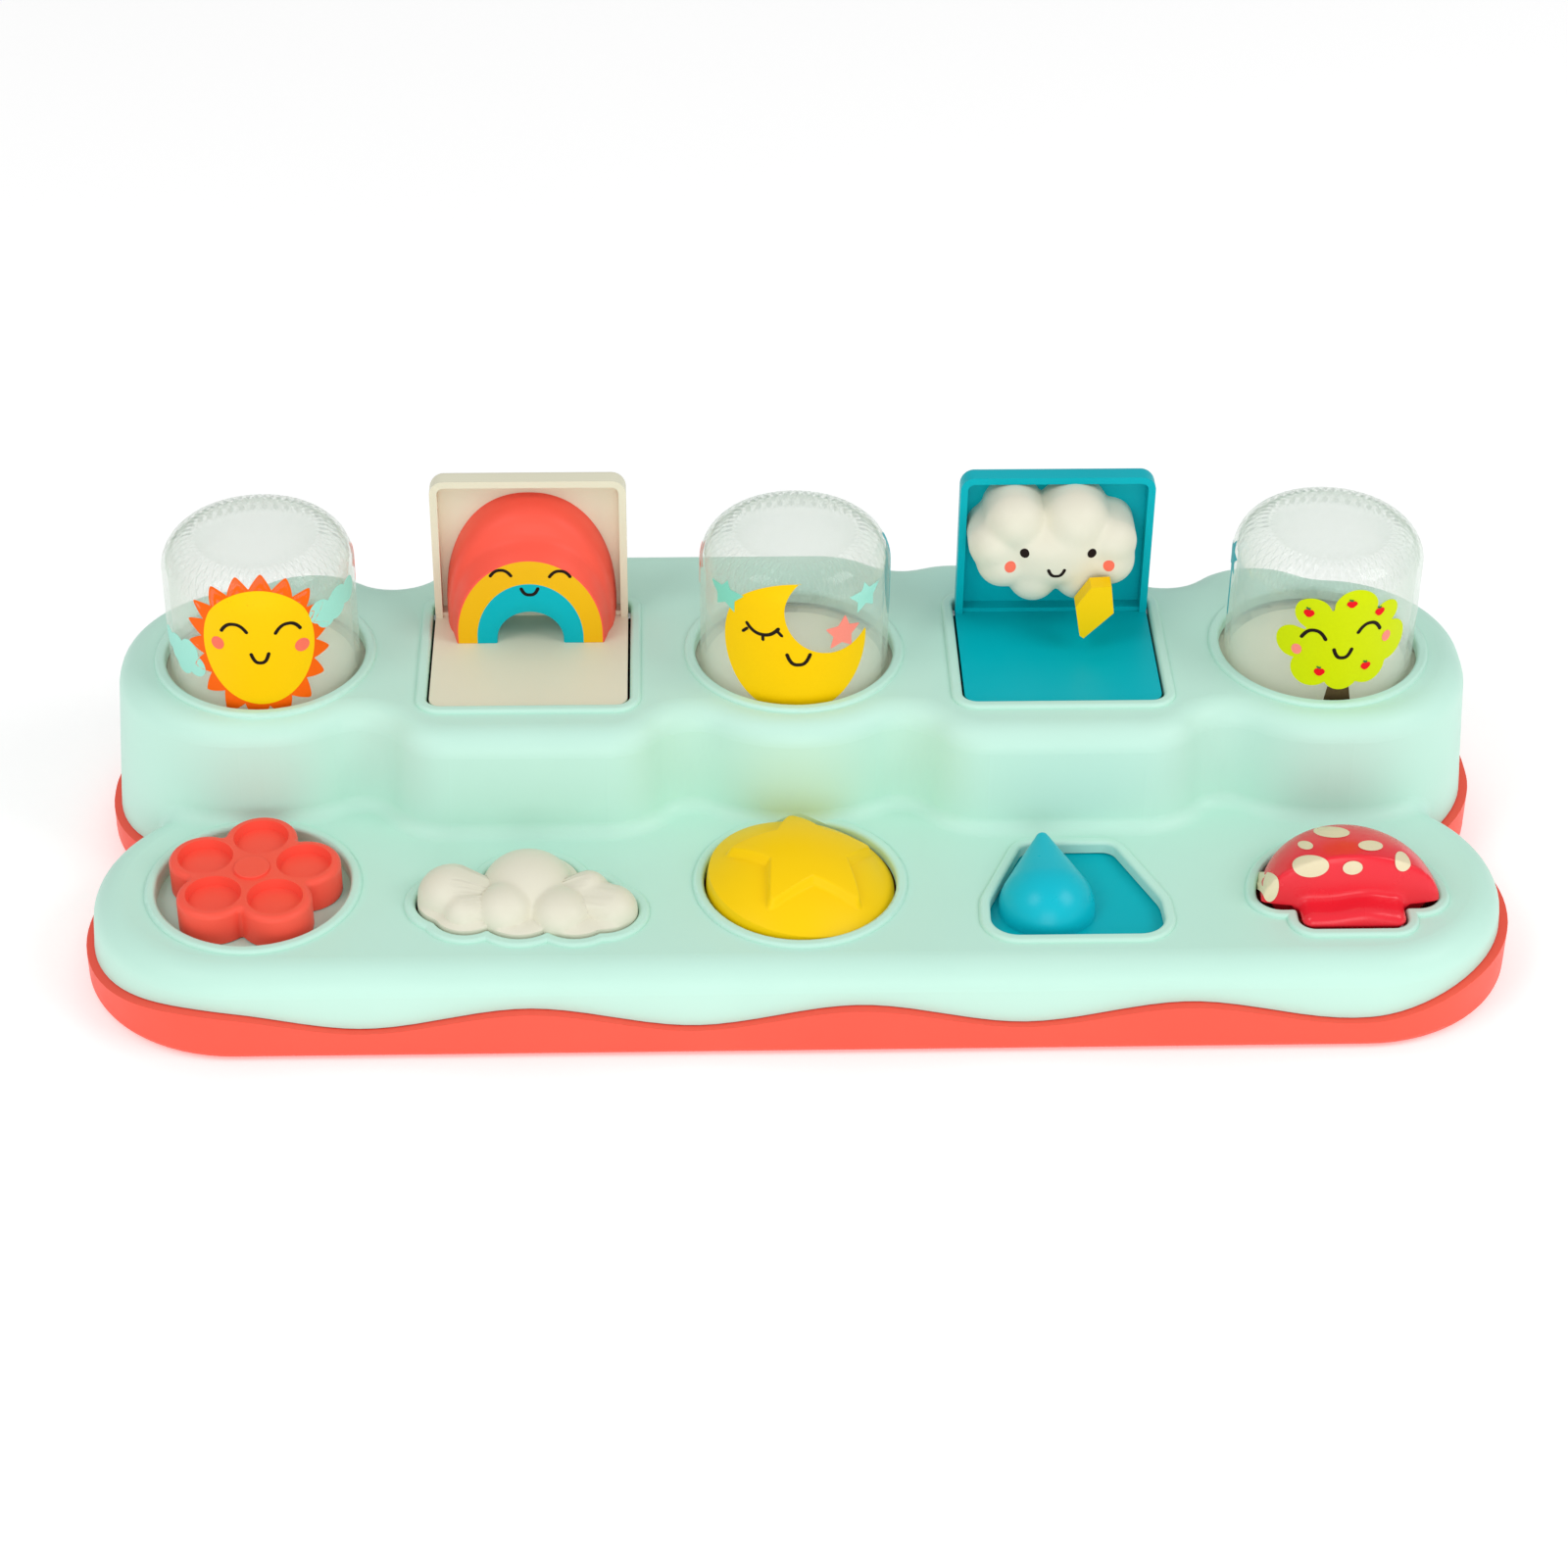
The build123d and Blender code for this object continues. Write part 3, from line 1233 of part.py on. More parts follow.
stations = {
    "latch_sun": (dial_x, "dome"),
    "latch_rainbow": (cloud_x, "flap"),
    "latch_moon": (star_x, "dome"),
    "latch_cloud": (slider_x, "flap"),
    "latch_tree": (mushroom_x, "dome"),
}
for name, (x, kind) in stations.items():
    with BuildPart() as latch:
        back_y = nose_tip_y - nose_width if kind == "dome" else flap_post_y
        with BuildSketch(Plane.XY.offset(latch_z)):
            with Locations((x, (latch_front_y + back_y) / 2)):
                Rectangle(latch_width, back_y - latch_front_y)
        extrude(amount=latch_thickness)
        if kind == "dome":
            with BuildSketch(Plane.XY.offset(latch_z)):
                with Locations((x, nose_tip_y - nose_width)):
                    Rectangle(nose_width, 2 * nose_width)
            extrude(amount=latch_thickness)
        else:
            with BuildSketch(Plane.XY.offset(latch_z)):
                with Locations((x, flap_post_y + nose_width / 2 - follower_thickness / 2)):
                    Rectangle(2 * nose_width, nose_width)
            extrude(amount=flap_post_rise + latch_thickness)
            with BuildSketch(Plane.XY.offset(latch_z + flap_post_rise)):
                with Locations((x, (flap_post_y + flap_nose_y) / 2)):
                    Rectangle(2 * nose_width, flap_nose_y - flap_post_y)
            extrude(amount=latch_thickness)
        # Block that the control pushes
        if x == dial_x:
            with BuildSketch(Plane.XY.offset(block_foot_z)):
                with Locations((x, cam_face_y - follower_thickness / 2)):
                    Rectangle(follower_width, follower_thickness)
            extrude(amount=follower_height)
        elif x == cloud_x:
            with BuildSketch(Plane.YZ.offset(x - block_half)):
                with BuildLine():
                    ramp_back_y = wedge_face_y - wedge_slope * ramp_rise
                    ramp_front_y = ramp_back_y - follower_thickness
                    ramp = Polyline((ramp_front_y, block_foot_z), (wedge_face_y, block_foot_z))
                    slope_line = Line(ramp @ 1, (ramp_back_y, block_foot_z + ramp_rise))
                    Polyline(slope_line @ 1, (ramp_front_y, block_foot_z + ramp_rise), ramp @ 0)
                make_face()
            extrude(amount=follower_width)
        elif x == mushroom_x:
            with BuildSketch(Plane.XY.offset(block_foot_z)):
                with Locations((x, arm_face_y - follower_thickness / 2)):
                    Rectangle(follower_width, follower_thickness)
            extrude(amount=follower_height)
        else:
            slope = star_slope if x == star_x else slide_slope
            add(slab(slanted_block(x, slope, face_gap), block_foot_z, block_foot_z + follower_height))
    latch.part.label = name
    export_step(latch.part, f"parts/{name}.step")

    seat_y = latch_front_y - latch_spring_length - face_clearance
    seat = Plane(origin=(x, seat_y, latch_z + latch_thickness / 2), z_dir=(0, 1, 0))
    spring = coil(seat, latch_spring_radius, latch_spring_wire, latch_spring_length, latch_spring_turns)
    spring.label = name.replace("latch", "latch_spring")
    export_step(spring, f"parts/{spring.label}.step")
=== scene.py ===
# %% [markdown]
# # A pop up toy for toddlers
# Five controls in the front row let go five surprises in the back row: three clear domes with
# printed pictures and two lids that swing up with a rainbow and a cloud. The solid model gives
# every moulding its place; this lesson dresses it. First come the tools that the rest uses.

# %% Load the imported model
import json
import bpy
import numpy as np
from mathutils import Matrix, Vector


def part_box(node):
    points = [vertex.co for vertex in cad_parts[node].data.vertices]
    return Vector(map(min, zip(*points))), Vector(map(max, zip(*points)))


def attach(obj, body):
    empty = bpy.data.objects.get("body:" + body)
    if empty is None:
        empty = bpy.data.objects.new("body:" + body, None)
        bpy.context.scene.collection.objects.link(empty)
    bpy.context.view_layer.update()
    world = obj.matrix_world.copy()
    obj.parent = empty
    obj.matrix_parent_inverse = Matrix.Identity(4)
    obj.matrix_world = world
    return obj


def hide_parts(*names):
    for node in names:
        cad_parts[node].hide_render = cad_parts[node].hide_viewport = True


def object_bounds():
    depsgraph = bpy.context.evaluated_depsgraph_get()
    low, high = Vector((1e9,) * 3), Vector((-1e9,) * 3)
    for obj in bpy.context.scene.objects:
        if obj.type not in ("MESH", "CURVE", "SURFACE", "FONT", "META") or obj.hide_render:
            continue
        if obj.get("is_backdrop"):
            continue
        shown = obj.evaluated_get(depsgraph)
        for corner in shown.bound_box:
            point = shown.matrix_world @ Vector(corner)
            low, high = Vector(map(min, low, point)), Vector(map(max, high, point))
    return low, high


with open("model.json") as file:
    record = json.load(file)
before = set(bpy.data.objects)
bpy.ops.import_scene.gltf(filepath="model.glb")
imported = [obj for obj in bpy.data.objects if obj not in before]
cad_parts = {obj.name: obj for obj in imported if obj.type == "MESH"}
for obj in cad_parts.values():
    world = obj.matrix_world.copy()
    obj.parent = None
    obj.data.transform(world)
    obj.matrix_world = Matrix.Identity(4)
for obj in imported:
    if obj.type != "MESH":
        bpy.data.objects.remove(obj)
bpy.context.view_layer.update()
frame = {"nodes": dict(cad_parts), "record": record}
MM = 0.001

# %% [markdown]
# ## Colour and nodes
# A moulder picks colours by eye on a screen, so they are written as sRGB hex values, and one
# function turns them to the linear values that light adds up in. One more function adds a
# shader node with its settings and links, so that a finish reads like a recipe.


# %% Colour and node helpers
def linear(code):
    """Linear RGBA of an sRGB hex colour: the low part is divided, the rest is a power of 2.4."""
    srgb = np.array([int(code[i : i + 2], 16) for i in (1, 3, 5)]) / 255
    low = srgb / 12.92
    high = ((srgb + 0.055) / 1.055) ** 2.4
    return (*np.where(srgb <= 0.04045, low, high), 1.0)


def add(tree, kind, settings, wires=None):
    """Add a shader node; a setting names an attribute or an input, a wire feeds an input."""
    node = tree.nodes.new("ShaderNode" + kind)
    for key, value in settings.items():
        if isinstance(key, str) and hasattr(node, key):
            setattr(node, key, value)
        else:
            node.inputs[key].default_value = value
    for key, source in (wires or {}).items():
        tree.links.new(source, node.inputs[key])
    return node


def start(name):
    """An empty material, its tree and the object coordinates that its patterns read."""
    material = bpy.data.materials.new(name)
    material.use_nodes = True
    material.node_tree.nodes.clear()
    place = add(material.node_tree, "TexCoord", {}).outputs["Object"]
    return material, material.node_tree, place


def close(tree, shader):
    """Join the finished shader to the material's output."""
    add(tree, "OutputMaterial", {}, {"Surface": shader.outputs[0]})


print("coral", [round(v, 3) for v in linear("#FF6454")])

# %% [markdown]
# ## Moulded plastic
# Nearly every piece is ABS or polypropylene shot into a steel mould. Three things show on it:
# a very fine orange peel from the spark-eroded mould, which softens highlights; slow changes
# in gloss where the melt cooled sooner; and a faint change of tone with wall thickness. A noise
# texture drives each. Real peel is about 0.3 mm, too fine to show, so it is drawn at 1.4 mm.


# %% Moulded plastic
def moulded(name, colour, shade, gloss, sheen=0.22, peel_mm=1.4, flow_mm=38.0):
    """Moulded plastic: two close tones mixed by slow flow noise, gloss by another, fine bump."""
    material, tree, place = start(name)
    flow = add(tree, "TexNoise", {"Scale": 1 / (flow_mm * MM), "Detail": 2.0}, {"Vector": place})
    tone = add(tree, "Mix", {"data_type": "RGBA", 6: linear(colour), 7: linear(shade)},
               {0: flow.outputs["Fac"]})
    rub = add(tree, "TexNoise", {"Scale": 1 / (9 * MM), "Detail": 4.0}, {"Vector": place})
    rough = add(tree, "MapRange", {"From Min": 0.3, "From Max": 0.7, "To Min": gloss - 0.04,
                                   "To Max": gloss + 0.05}, {"Value": rub.outputs["Fac"]})
    peel = add(tree, "TexNoise", {"Scale": 1 / (peel_mm * MM), "Detail": 2.0}, {"Vector": place})
    bump = add(tree, "Bump", {"Strength": 0.35, "Distance": 0.03 * MM},
               {"Height": peel.outputs["Fac"]})
    shader = add(tree, "BsdfPrincipled", {"IOR": 1.5, "Specular IOR Level": sheen},
                 {"Base Color": tone.outputs[2], "Roughness": rough.outputs[0],
                  "Normal": bump.outputs[0]})
    close(tree, shader)
    return material


mint = moulded("polypropylene_moulded_mint", "#C9F1E2", "#C2EBDB", 0.40)
coral = moulded("abs_moulded_coral", "#FF604C", "#FB5846", 0.42)
cream = moulded("abs_moulded_cream", "#EAE8D0", "#E5E1C8", 0.38)
lagoon = moulded("abs_moulded_lagoon", "#00B9C6", "#00B0BE", 0.36, sheen=0.12)
sunny = moulded("abs_moulded_yellow", "#FFD400", "#FBCD00", 0.42, sheen=0.15)
drop_blue = moulded("abs_moulded_drop_blue", "#08C2D4", "#04B8CC", 0.30)
berry = moulded("abs_moulded_red", "#F42838", "#EC2232", 0.24, sheen=0.4)
snow = moulded("abs_moulded_white", "#E9E6D4", "#E3E0CC", 0.40)
inner = moulded("polypropylene_moulded_inner", "#F0E2C8", "#E9DABF", 0.50)
print("moulded finishes", len(bpy.data.materials))

# %% [markdown]
# ## Clear styrene
# The domes are injection moulded styrene, clear with a breath of milk. A thin wall bends a view
# very little, so the finish lets the light straight through where it is seen face on, and
# turns milky and mirror like where it is seen at a slant, as the real wall does at its sides.
# A slow noise stands for the flow of the melt and bends the reflections a little.

# %% Clear styrene
def styrene(name, colour, thin, thick):
    """Clear styrene: the share of light it stops rises from `thin` face on to `thick` aslant."""
    material, tree, place = start(name)
    ripple = add(tree, "TexNoise", {"Scale": 1 / (14 * MM), "Detail": 1.5}, {"Vector": place})
    wave = add(tree, "Bump", {"Strength": 0.15, "Distance": 0.2 * MM},
               {"Height": ripple.outputs["Fac"]})
    haze = add(tree, "MapRange", {"To Min": 0.02, "To Max": 0.07}, {"Value": ripple.outputs["Fac"]})
    slant = add(tree, "LayerWeight", {"Blend": 0.35}, {"Normal": wave.outputs[0]})
    veil = add(tree, "MapRange", {"From Min": 0.0, "From Max": 0.9, "To Min": thin, "To Max": thick},
               {"Value": slant.outputs["Facing"]})
    glass = add(tree, "BsdfPrincipled", {"Base Color": linear(colour), "IOR": 2.4},
                {"Roughness": haze.outputs[0], "Normal": wave.outputs[0], "Alpha": veil.outputs[0]})
    close(tree, glass)
    return material


clear = styrene("styrene_moulded_clear", "#DFF0E2", 0.05, 0.50)
# A greyer, less clear copy of the clear finish: painted shade for the far facets, standing for the darker
# surroundings they reflect
painted_shade_facet = styrene("styrene_painted_shade_facet", "#A9BDB0", 0.30, 0.62)
print("clear finishes", clear.name, painted_shade_facet.name)

# %% [markdown]
# ## Steel and rubber
# The axles, springs and screws are drawn or rolled steel: a metal whose drawing lines run as
# fine scratches. The feet are pale thermoplastic rubber, nearly matt, with a grainy skin.


# %% Steel and rubber
def drawn_steel(name):
    """Zinc-plated steel wire: stretched noise gives the drawing lines in gloss and bump."""
    material, tree, place = start(name)
    turn = add(tree, "Mapping", {"Scale": (1.0, 6.0, 1.0)}, {"Vector": place})
    lines = add(tree, "TexNoise", {"Scale": 1 / (0.9 * MM), "Detail": 3.0},
                {"Vector": turn.outputs[0]})
    rough = add(tree, "MapRange", {"To Min": 0.22, "To Max": 0.42}, {"Value": lines.outputs["Fac"]})
    tone = add(tree, "Mix", {"data_type": "RGBA", 6: linear("#C9CBCC"), 7: linear("#B4B7B9")},
               {0: lines.outputs["Fac"]})
    bump = add(tree, "Bump", {"Strength": 0.2, "Distance": 0.01 * MM},
               {"Height": lines.outputs["Fac"]})
    shader = add(tree, "BsdfPrincipled", {"Metallic": 1.0},
                 {"Base Color": tone.outputs[2], "Roughness": rough.outputs[0],
                  "Normal": bump.outputs[0]})
    close(tree, shader)
    return material


steel = drawn_steel("steel_drawn_zinc_plated")
rubber = moulded("rubber_moulded_grey", "#B9C4BE", "#A9B4AE", 0.78, peel_mm=0.8)
print("hidden finishes", steel.name, rubber.name)

# %% [markdown]
# ## Dress the solids
# Every solid takes the finish of its own material slot, so a repainted slot repaints all its
# pieces. The record lists the slot of each node.

# %% Slot to finish
finishes = {
    "mint_plastic": mint, "coral_plastic": coral, "cream_plastic": cream,
    "teal_plastic": lagoon, "clear_plastic": clear, "yellow_plastic": sunny,
    "drop_plastic": drop_blue, "red_plastic": berry, "cloud_plastic": snow,
    "inner_plastic": inner, "steel": steel, "foot_rubber": rubber,
}
slot_of = {part["node"]: part["material_slot"] for part in frame["record"]["subparts"]}
for name, solid in frame["nodes"].items():
    finish = finishes[slot_of[name]]
    if not solid.data.materials:
        solid.data.materials.append(finish)
    for index in range(len(solid.data.materials)):
        solid.data.materials[index] = finish
print("dressed", len(frame["nodes"]), "solids")

# %% [markdown]
# ## A skin from a grid
# The soft mouldings and the prints are surfaces worked out in numpy. Each is a grid of points:
# row by row along the shape, column by column across or around it. One function turns any such
# grid into a closed mesh, with a fan of triangles over each end, and hands it to a body.


# %% Skin helper
def skin(name, grid, finish, body, slot, bands=None, crease=40.0):
    """Closed mesh of a grid whose columns go round: four neighbours make a face, ends get a fan.

    The signed volume, a sixth of the sum of each triangle's triple product, tells which way
    the faces point, and a negative one turns them all. Edges that bend by more than `crease`
    degrees stay sharp, and the rest is shaded smooth.
    """
    rows, columns = grid.shape[:2]
    index = np.arange(rows * columns).reshape(rows, columns)
    beside = np.roll(index, -1, axis=1)
    quads = np.stack([index[:-1], beside[:-1], beside[1:], index[1:]], axis=-1).reshape(-1, 4)
    first, last = rows * columns, rows * columns + 1
    low_fan = np.stack([beside[0], index[0], np.full(columns, first)], axis=-1)
    high_fan = np.stack([index[-1], beside[-1], np.full(columns, last)], axis=-1)
    points = np.vstack([grid.reshape(-1, 3), grid[0].mean(axis=0), grid[-1].mean(axis=0)]) * MM
    corners = points[quads] - points.mean(axis=0)
    volume = np.einsum("ij,ij->", corners[:, 0], np.cross(corners[:, 1], corners[:, 2]))
    volume += np.einsum("ij,ij->", corners[:, 0], np.cross(corners[:, 2], corners[:, 3]))
    faces = quads.tolist() + low_fan.tolist() + high_fan.tolist()
    if volume < 0:
        faces = [face[::-1] for face in faces]
    mesh = bpy.data.meshes.new(name)
    mesh.from_pydata(points.tolist(), [], faces)
    for material in finish if isinstance(finish, list) else [finish]:
        mesh.materials.append(material)
    if bands is not None:
        share = np.concatenate([np.tile(bands, rows - 1), bands, bands]).astype(np.int32)
        mesh.polygons.foreach_set("material_index", share)
    mesh.shade_smooth()
    mesh.set_sharp_from_angle(angle=np.radians(crease))
    piece = bpy.data.objects.new(name, mesh)
    bpy.context.scene.collection.objects.link(piece)
    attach(piece, body)
    return piece


def march(start, way, reach, gap, steps=48):
    """Walk from `start` along `way` by the gap that is left, and stop where it closes."""
    travel = np.zeros(start.shape[:-1])
    for _ in range(steps):
        travel = np.minimum(travel + gap(start + way * travel[..., None]), reach)
    return start + way * travel[..., None]


def half_sphere(rows, columns):
    """Unit rays of a half sphere about +Z: the tilt from the pole in rows, the turn in columns."""
    tilt = np.linspace(0.02, np.pi / 2, rows)[:, None]
    around = np.linspace(0, 2 * np.pi, columns, endpoint=False)[None, :]
    return np.stack([np.sin(tilt) * np.cos(around), np.sin(tilt) * np.sin(around),
                     np.cos(tilt) + 0 * around], axis=-1)


print("helpers ready")

# %% [markdown]
# ## The cloud on the blue lid
# The cloud is one hollow moulding with nine soft lobes that run back to the lid. Modelling
# balls and joining them leaves hard valleys, so nine balls round a flat cushion are blended by
# a smooth union.
# Rays from a half sphere walk inwards until they meet it, which gives an even grid.

# %% Cloud figure
lid_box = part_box("flap_blue")
cloud_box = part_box("cloud_figure")
lid_x = (lid_box[0][0] + lid_box[1][0]) / 2 / MM
lid_y = cloud_box[1][1] / MM
cloud_front = cloud_box[0][1] / MM
cloud_lobes = np.array([
    (-12.0, 89.6, 8.2), (4.5, 88.5, 9.5), (14.4, 84.0, 7.0), (14.2, 78.0, 7.0), (-17.2, 83.0, 7.2),
    (-15.0, 77.5, 7.0), (-2.0, 80.0, 10.5), (-6.5, 72.8, 6.8), (6.0, 73.2, 6.8),
])
lobe_setback = 1.2
cloud_balls = np.column_stack([cloud_lobes[:, 0] + lid_x, cloud_front + lobe_setback + cloud_lobes[:, 2],
                               cloud_lobes[:, 1]])
cloud_core = np.array([lid_x - 1.0, lid_y, 80.5])
cloud_half = np.array([16.8, lid_y - cloud_front - 0.3, 10.4])
cloud_blend = 0.6


def cloud_gap(points):
    """Gap to the cloud: lobes that run back as rods, round a cushion shaped body.

    The cushion is a ball of the third power: the cube root of the summed cubes of its shares.
    """
    rods = np.repeat(cloud_balls[None], len(points.reshape(-1, 3)), axis=0)
    flat = points.reshape(-1, 3)
    rods[:, :, 1] = np.clip(flat[:, None, 1], cloud_balls[:, 1], lid_y + 5)
    gaps = np.linalg.norm(flat[:, None, :] - rods, axis=-1) - cloud_lobes[:, 2]
    share = np.abs(flat - cloud_core) / cloud_half
    cushion = ((share**3).sum(axis=-1) ** (1 / 3) - 1) * cloud_half.min()
    gaps = np.column_stack([gaps, cushion])
    joined = -cloud_blend * np.log(np.exp(-gaps / cloud_blend).sum(axis=-1))
    return joined.reshape(points.shape[:-1])


outward = half_sphere(56, 180)[..., [0, 2, 1]] * np.array([1, -1, 1])
cloud_grid = march(cloud_core + 40 * outward, -outward, 39.0, lambda p: 0.8 * cloud_gap(p), 90)
cloud = skin("cloud_puffs", cloud_grid, snow, "cloud_flap", "cloud_plastic")
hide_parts("cloud_figure")
print("cloud", [round(v, 1) for v in np.ptp(cloud_grid.reshape(-1, 3), axis=0)])

# %% [markdown]
# ## The cloud button
# The button in the front row is a low cloud: broad lobes, flatter than balls. Each lobe is an
# ellipsoid on a thin plinth that fills the opening, and the same smooth union joins them.
# Under the foot the wall goes straight down into the opening.

# %% Cloud button
button_x, row_y = -72.0, -40.7
foot_z = 27.5
lobes = np.array([
    (-19.5, -6.5, 9.0, 8.0), (-15.8, -14.5, 5.6, 5.5), (-5.3, -13.5, 7.8, 7.4), (9.2, -14.5, 8.0, 6.6),
    (22.2, -13.0, 7.0, 6.3), (0.3, -3.5, 12.0, 9.2), (16.3, -7.5, 6.0, 7.4),
])
plinth = np.array([
    (-19.0, -8.0, 9.5, 1.3), (-15.5, -13.0, 8.5, 1.3), (-1.5, -13.0, 10.3, 1.3), (13.0, -14.0, 9.5, 1.3),
    (20.0, -12.5, 8.8, 1.3), (1.0, -2.0, 13.0, 1.3), (16.0, -5.0, 6.5, 1.3),
])
lobe_blend = 0.5


def lobe_gaps(points, table):
    """Gap to each ellipsoid of a table: its scaled distance less one, times its least half axis."""
    places = np.column_stack([table[:, 0] + button_x, table[:, 1] + row_y, np.full(len(table), foot_z)])
    reach = table[:, [2, 2, 3]]
    scaled = np.linalg.norm((points[..., None, :] - places) / reach, axis=-1)
    return (scaled - 1) * reach.min(axis=1)


def button_gap(points):
    """Gap to the button: the nearer of the smooth union of the lobes and the thin plinth."""
    joined = -lobe_blend * np.log(np.exp(-lobe_gaps(points, lobes) / lobe_blend).sum(axis=-1))
    return np.minimum(joined, lobe_gaps(points, plinth).min(axis=-1))


outward = half_sphere(44, 180)
button_core = np.array([button_x + 0.5, row_y - 8.5, foot_z])
button_top = march(button_core + 45 * outward, -outward, 44.0, lambda p: 0.7 * button_gap(p), 110)
wall_drop = np.linspace(0.5, 4.8, 5)[:, None, None] * np.array([0, 0, -1.0])
button_grid = np.concatenate([button_top, button_top[-1] + wall_drop])
button = skin("cloud_button_puffs", button_grid, snow, "push_button", "cloud_plastic")
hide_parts("cloud_button")
print("button", [round(v, 1) for v in np.ptp(button_grid.reshape(-1, 3), axis=0)])

# %% [markdown]
# ## The rainbow
# The rainbow is an arch with a flat front: a blue band, a yellow band and a coral crown that
# swells back to the lid over a soft brow. It is a loft: the columns run round the arch's
# section, the rows run from the left foot over the top to the right foot. Each column keeps
# one colour, so the bands are as crisp as the real two-shot moulding.

# %% Rainbow figure
arch_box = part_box("rainbow_figure")
arch_x = (arch_box[0][0] + arch_box[1][0]) / 2 / MM
arch_foot = arch_box[0][2] / MM
arch_front, arch_back = arch_box[0][1] / MM, arch_box[1][1] / MM
# Half width, height, leg height and y of each column, from the lid over the crown to the tunnel
section = np.array([
    (23.4, 37.7, 3.0, arch_back), (23.3, 37.6, 3.0, 43.5), (23.1, 37.4, 3.0, 41.4), (22.9, 37.0, 3.0, 39.4),
    (22.65, 36.3, 3.0, 37.7), (22.35, 35.2, 3.0, 36.3), (22.0, 33.6, 3.0, 35.3), (21.7, 31.8, 3.0, 34.6),
    (21.4, 30.4, 3.0, 33.9), (21.1, 29.5, 3.0, 32.8), (20.8, 28.8, 3.0, 31.3), (20.4, 27.9, 3.0, 29.7),
    (20.0, 26.95, 2.9, arch_front + 0.06), (19.7, 26.5, 2.8, arch_front), (17.1, 22.85, 2.2, arch_front),
    (14.5, 19.2, 1.8, arch_front), (12.0, 14.8, 1.4, arch_front), (9.5, 10.45, 1.0, arch_front),
    (9.15, 10.1, 0.95, arch_front + 0.2), (9.05, 10.0, 0.95, arch_front + 0.6), (9.05, 10.0, 0.95, 34.0),
    (9.05, 10.0, 0.95, 40.0), (9.05, 10.0, 0.95, arch_back),
])
swing = np.linspace(np.pi, 0, 73)
leg_rows = np.array([0.0, 0.5])
# The crown is a little squarer than a half circle, the bands are round
square = 2 / np.interp(np.arange(len(section)), [0, 9, 13], [2.2, 2.2, 2.0])
cosine = np.concatenate([-np.ones(2), np.cos(swing), np.ones(2)])[:, None]
across = np.sign(cosine) * np.abs(cosine) ** square * section[:, 0]
bow = np.concatenate([np.zeros(2), np.sin(swing).clip(0), np.zeros(2)])[:, None] ** square
leg = np.concatenate([leg_rows, np.ones(len(swing)), leg_rows[::-1]])[:, None]
up = arch_foot + leg * section[:, 2] + bow * (section[:, 1] - section[:, 2])
deep = np.broadcast_to(section[:, 3], across.shape)
arch_grid = np.stack([arch_x + across, deep, up], axis=-1)
coral_to = 13
yellow_to = 15
arch_bands = np.zeros(len(section), dtype=int)
arch_bands[coral_to:yellow_to] = 1
arch_bands[yellow_to:-1] = 2
band_yellow = moulded("abs_moulded_band_yellow", "#F6BE00", "#F0B600", 0.40)
arch_finishes = [coral, band_yellow, lagoon]
arch = skin("rainbow_arch", arch_grid, arch_finishes, "rainbow_flap", "coral_plastic", arch_bands)
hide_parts("rainbow_figure")
print("arch rows", arch_grid.shape[0], "columns", arch_grid.shape[1])

# %% [markdown]
# ## Printed faces and pictures
# The pictures are pad printed: a soft silicone pad lifts ink from a plate and rolls it onto the
# curved wall, one colour after another, each a few hundredths of a millimetre thick. A print is
# a patch whose outline is a radius for each angle, and a line is a ribbon along a path. Both
# are drawn flat and then placed by a function that wraps them on their wall. Each colour lies a
# little above the one before, and ink is drawn thicker than it is, so that it never flickers.


# %% Ink
def ink(name, colour, shade, gloss=0.45):
    """Pad printing ink: two close tones that mix in fine speckles, as ink does on a smooth wall."""
    material, tree, place = start(name)
    speckle = add(tree, "TexNoise", {"Scale": 1 / (0.8 * MM), "Detail": 2.0}, {"Vector": place})
    tone = add(tree, "Mix", {"data_type": "RGBA", 6: linear(colour), 7: linear(shade)},
               {0: speckle.outputs["Fac"]})
    skin_bump = add(tree, "Bump", {"Strength": 0.15, "Distance": 0.01 * MM},
                    {"Height": speckle.outputs["Fac"]})
    shader = add(tree, "BsdfPrincipled", {"Roughness": gloss, "IOR": 1.48, "Specular IOR Level": 0.1},
                 {"Base Color": tone.outputs[2], "Normal": skin_bump.outputs[0]})
    close(tree, shader)
    return material


ink_yellow = ink("ink_printed_yellow", "#FFD000", "#FBCB00")
ink_orange = ink("ink_printed_orange", "#FF6A08", "#FA6406")
ink_dark = ink("ink_printed_dark", "#1C1210", "#241815")
ink_coral = ink("ink_printed_coral", "#FF7A62", "#F8735C")
ink_pink = ink("ink_printed_pink", "#FF9484", "#FA8D7E")
ink_mint = ink("ink_printed_mint", "#A9E9DA", "#A2E3D3")
ink_teal = ink("ink_printed_teal", "#8ADCC6", "#82D5BF")
ink_lime = ink("ink_printed_lime", "#D3E500", "#CCDE00")
ink_bark = ink("ink_printed_bark", "#5A4B2F", "#473A24")
ink_red = ink("ink_printed_red", "#F2141E", "#E8101A")
ink_leaf = ink("ink_printed_leaf", "#2F7A45", "#28703E")
ink_sea = ink("ink_printed_sea", "#35B6BE", "#2EADB6")
ink_spot = ink("ink_printed_cream", "#EEE2C0", "#E8DBB6")
layer = 0.07


def blot(name, place, centre, radii, level, finish, body, slot, rings=7):
    """Patch of ink: rings shrink from the outline to the middle, under side first, top after."""
    turn = np.linspace(0, 2 * np.pi, len(radii), endpoint=False)
    share = np.concatenate([np.linspace(0.02, 1, rings), np.linspace(1, 0.02, rings)])[:, None]
    lift = np.repeat([level * layer - layer, level * layer], rings)[:, None] + 0 * radii
    grid = place(centre[0] + share * radii * np.cos(turn), centre[1] + share * radii * np.sin(turn), lift)
    return skin(name, grid, finish, body, slot)


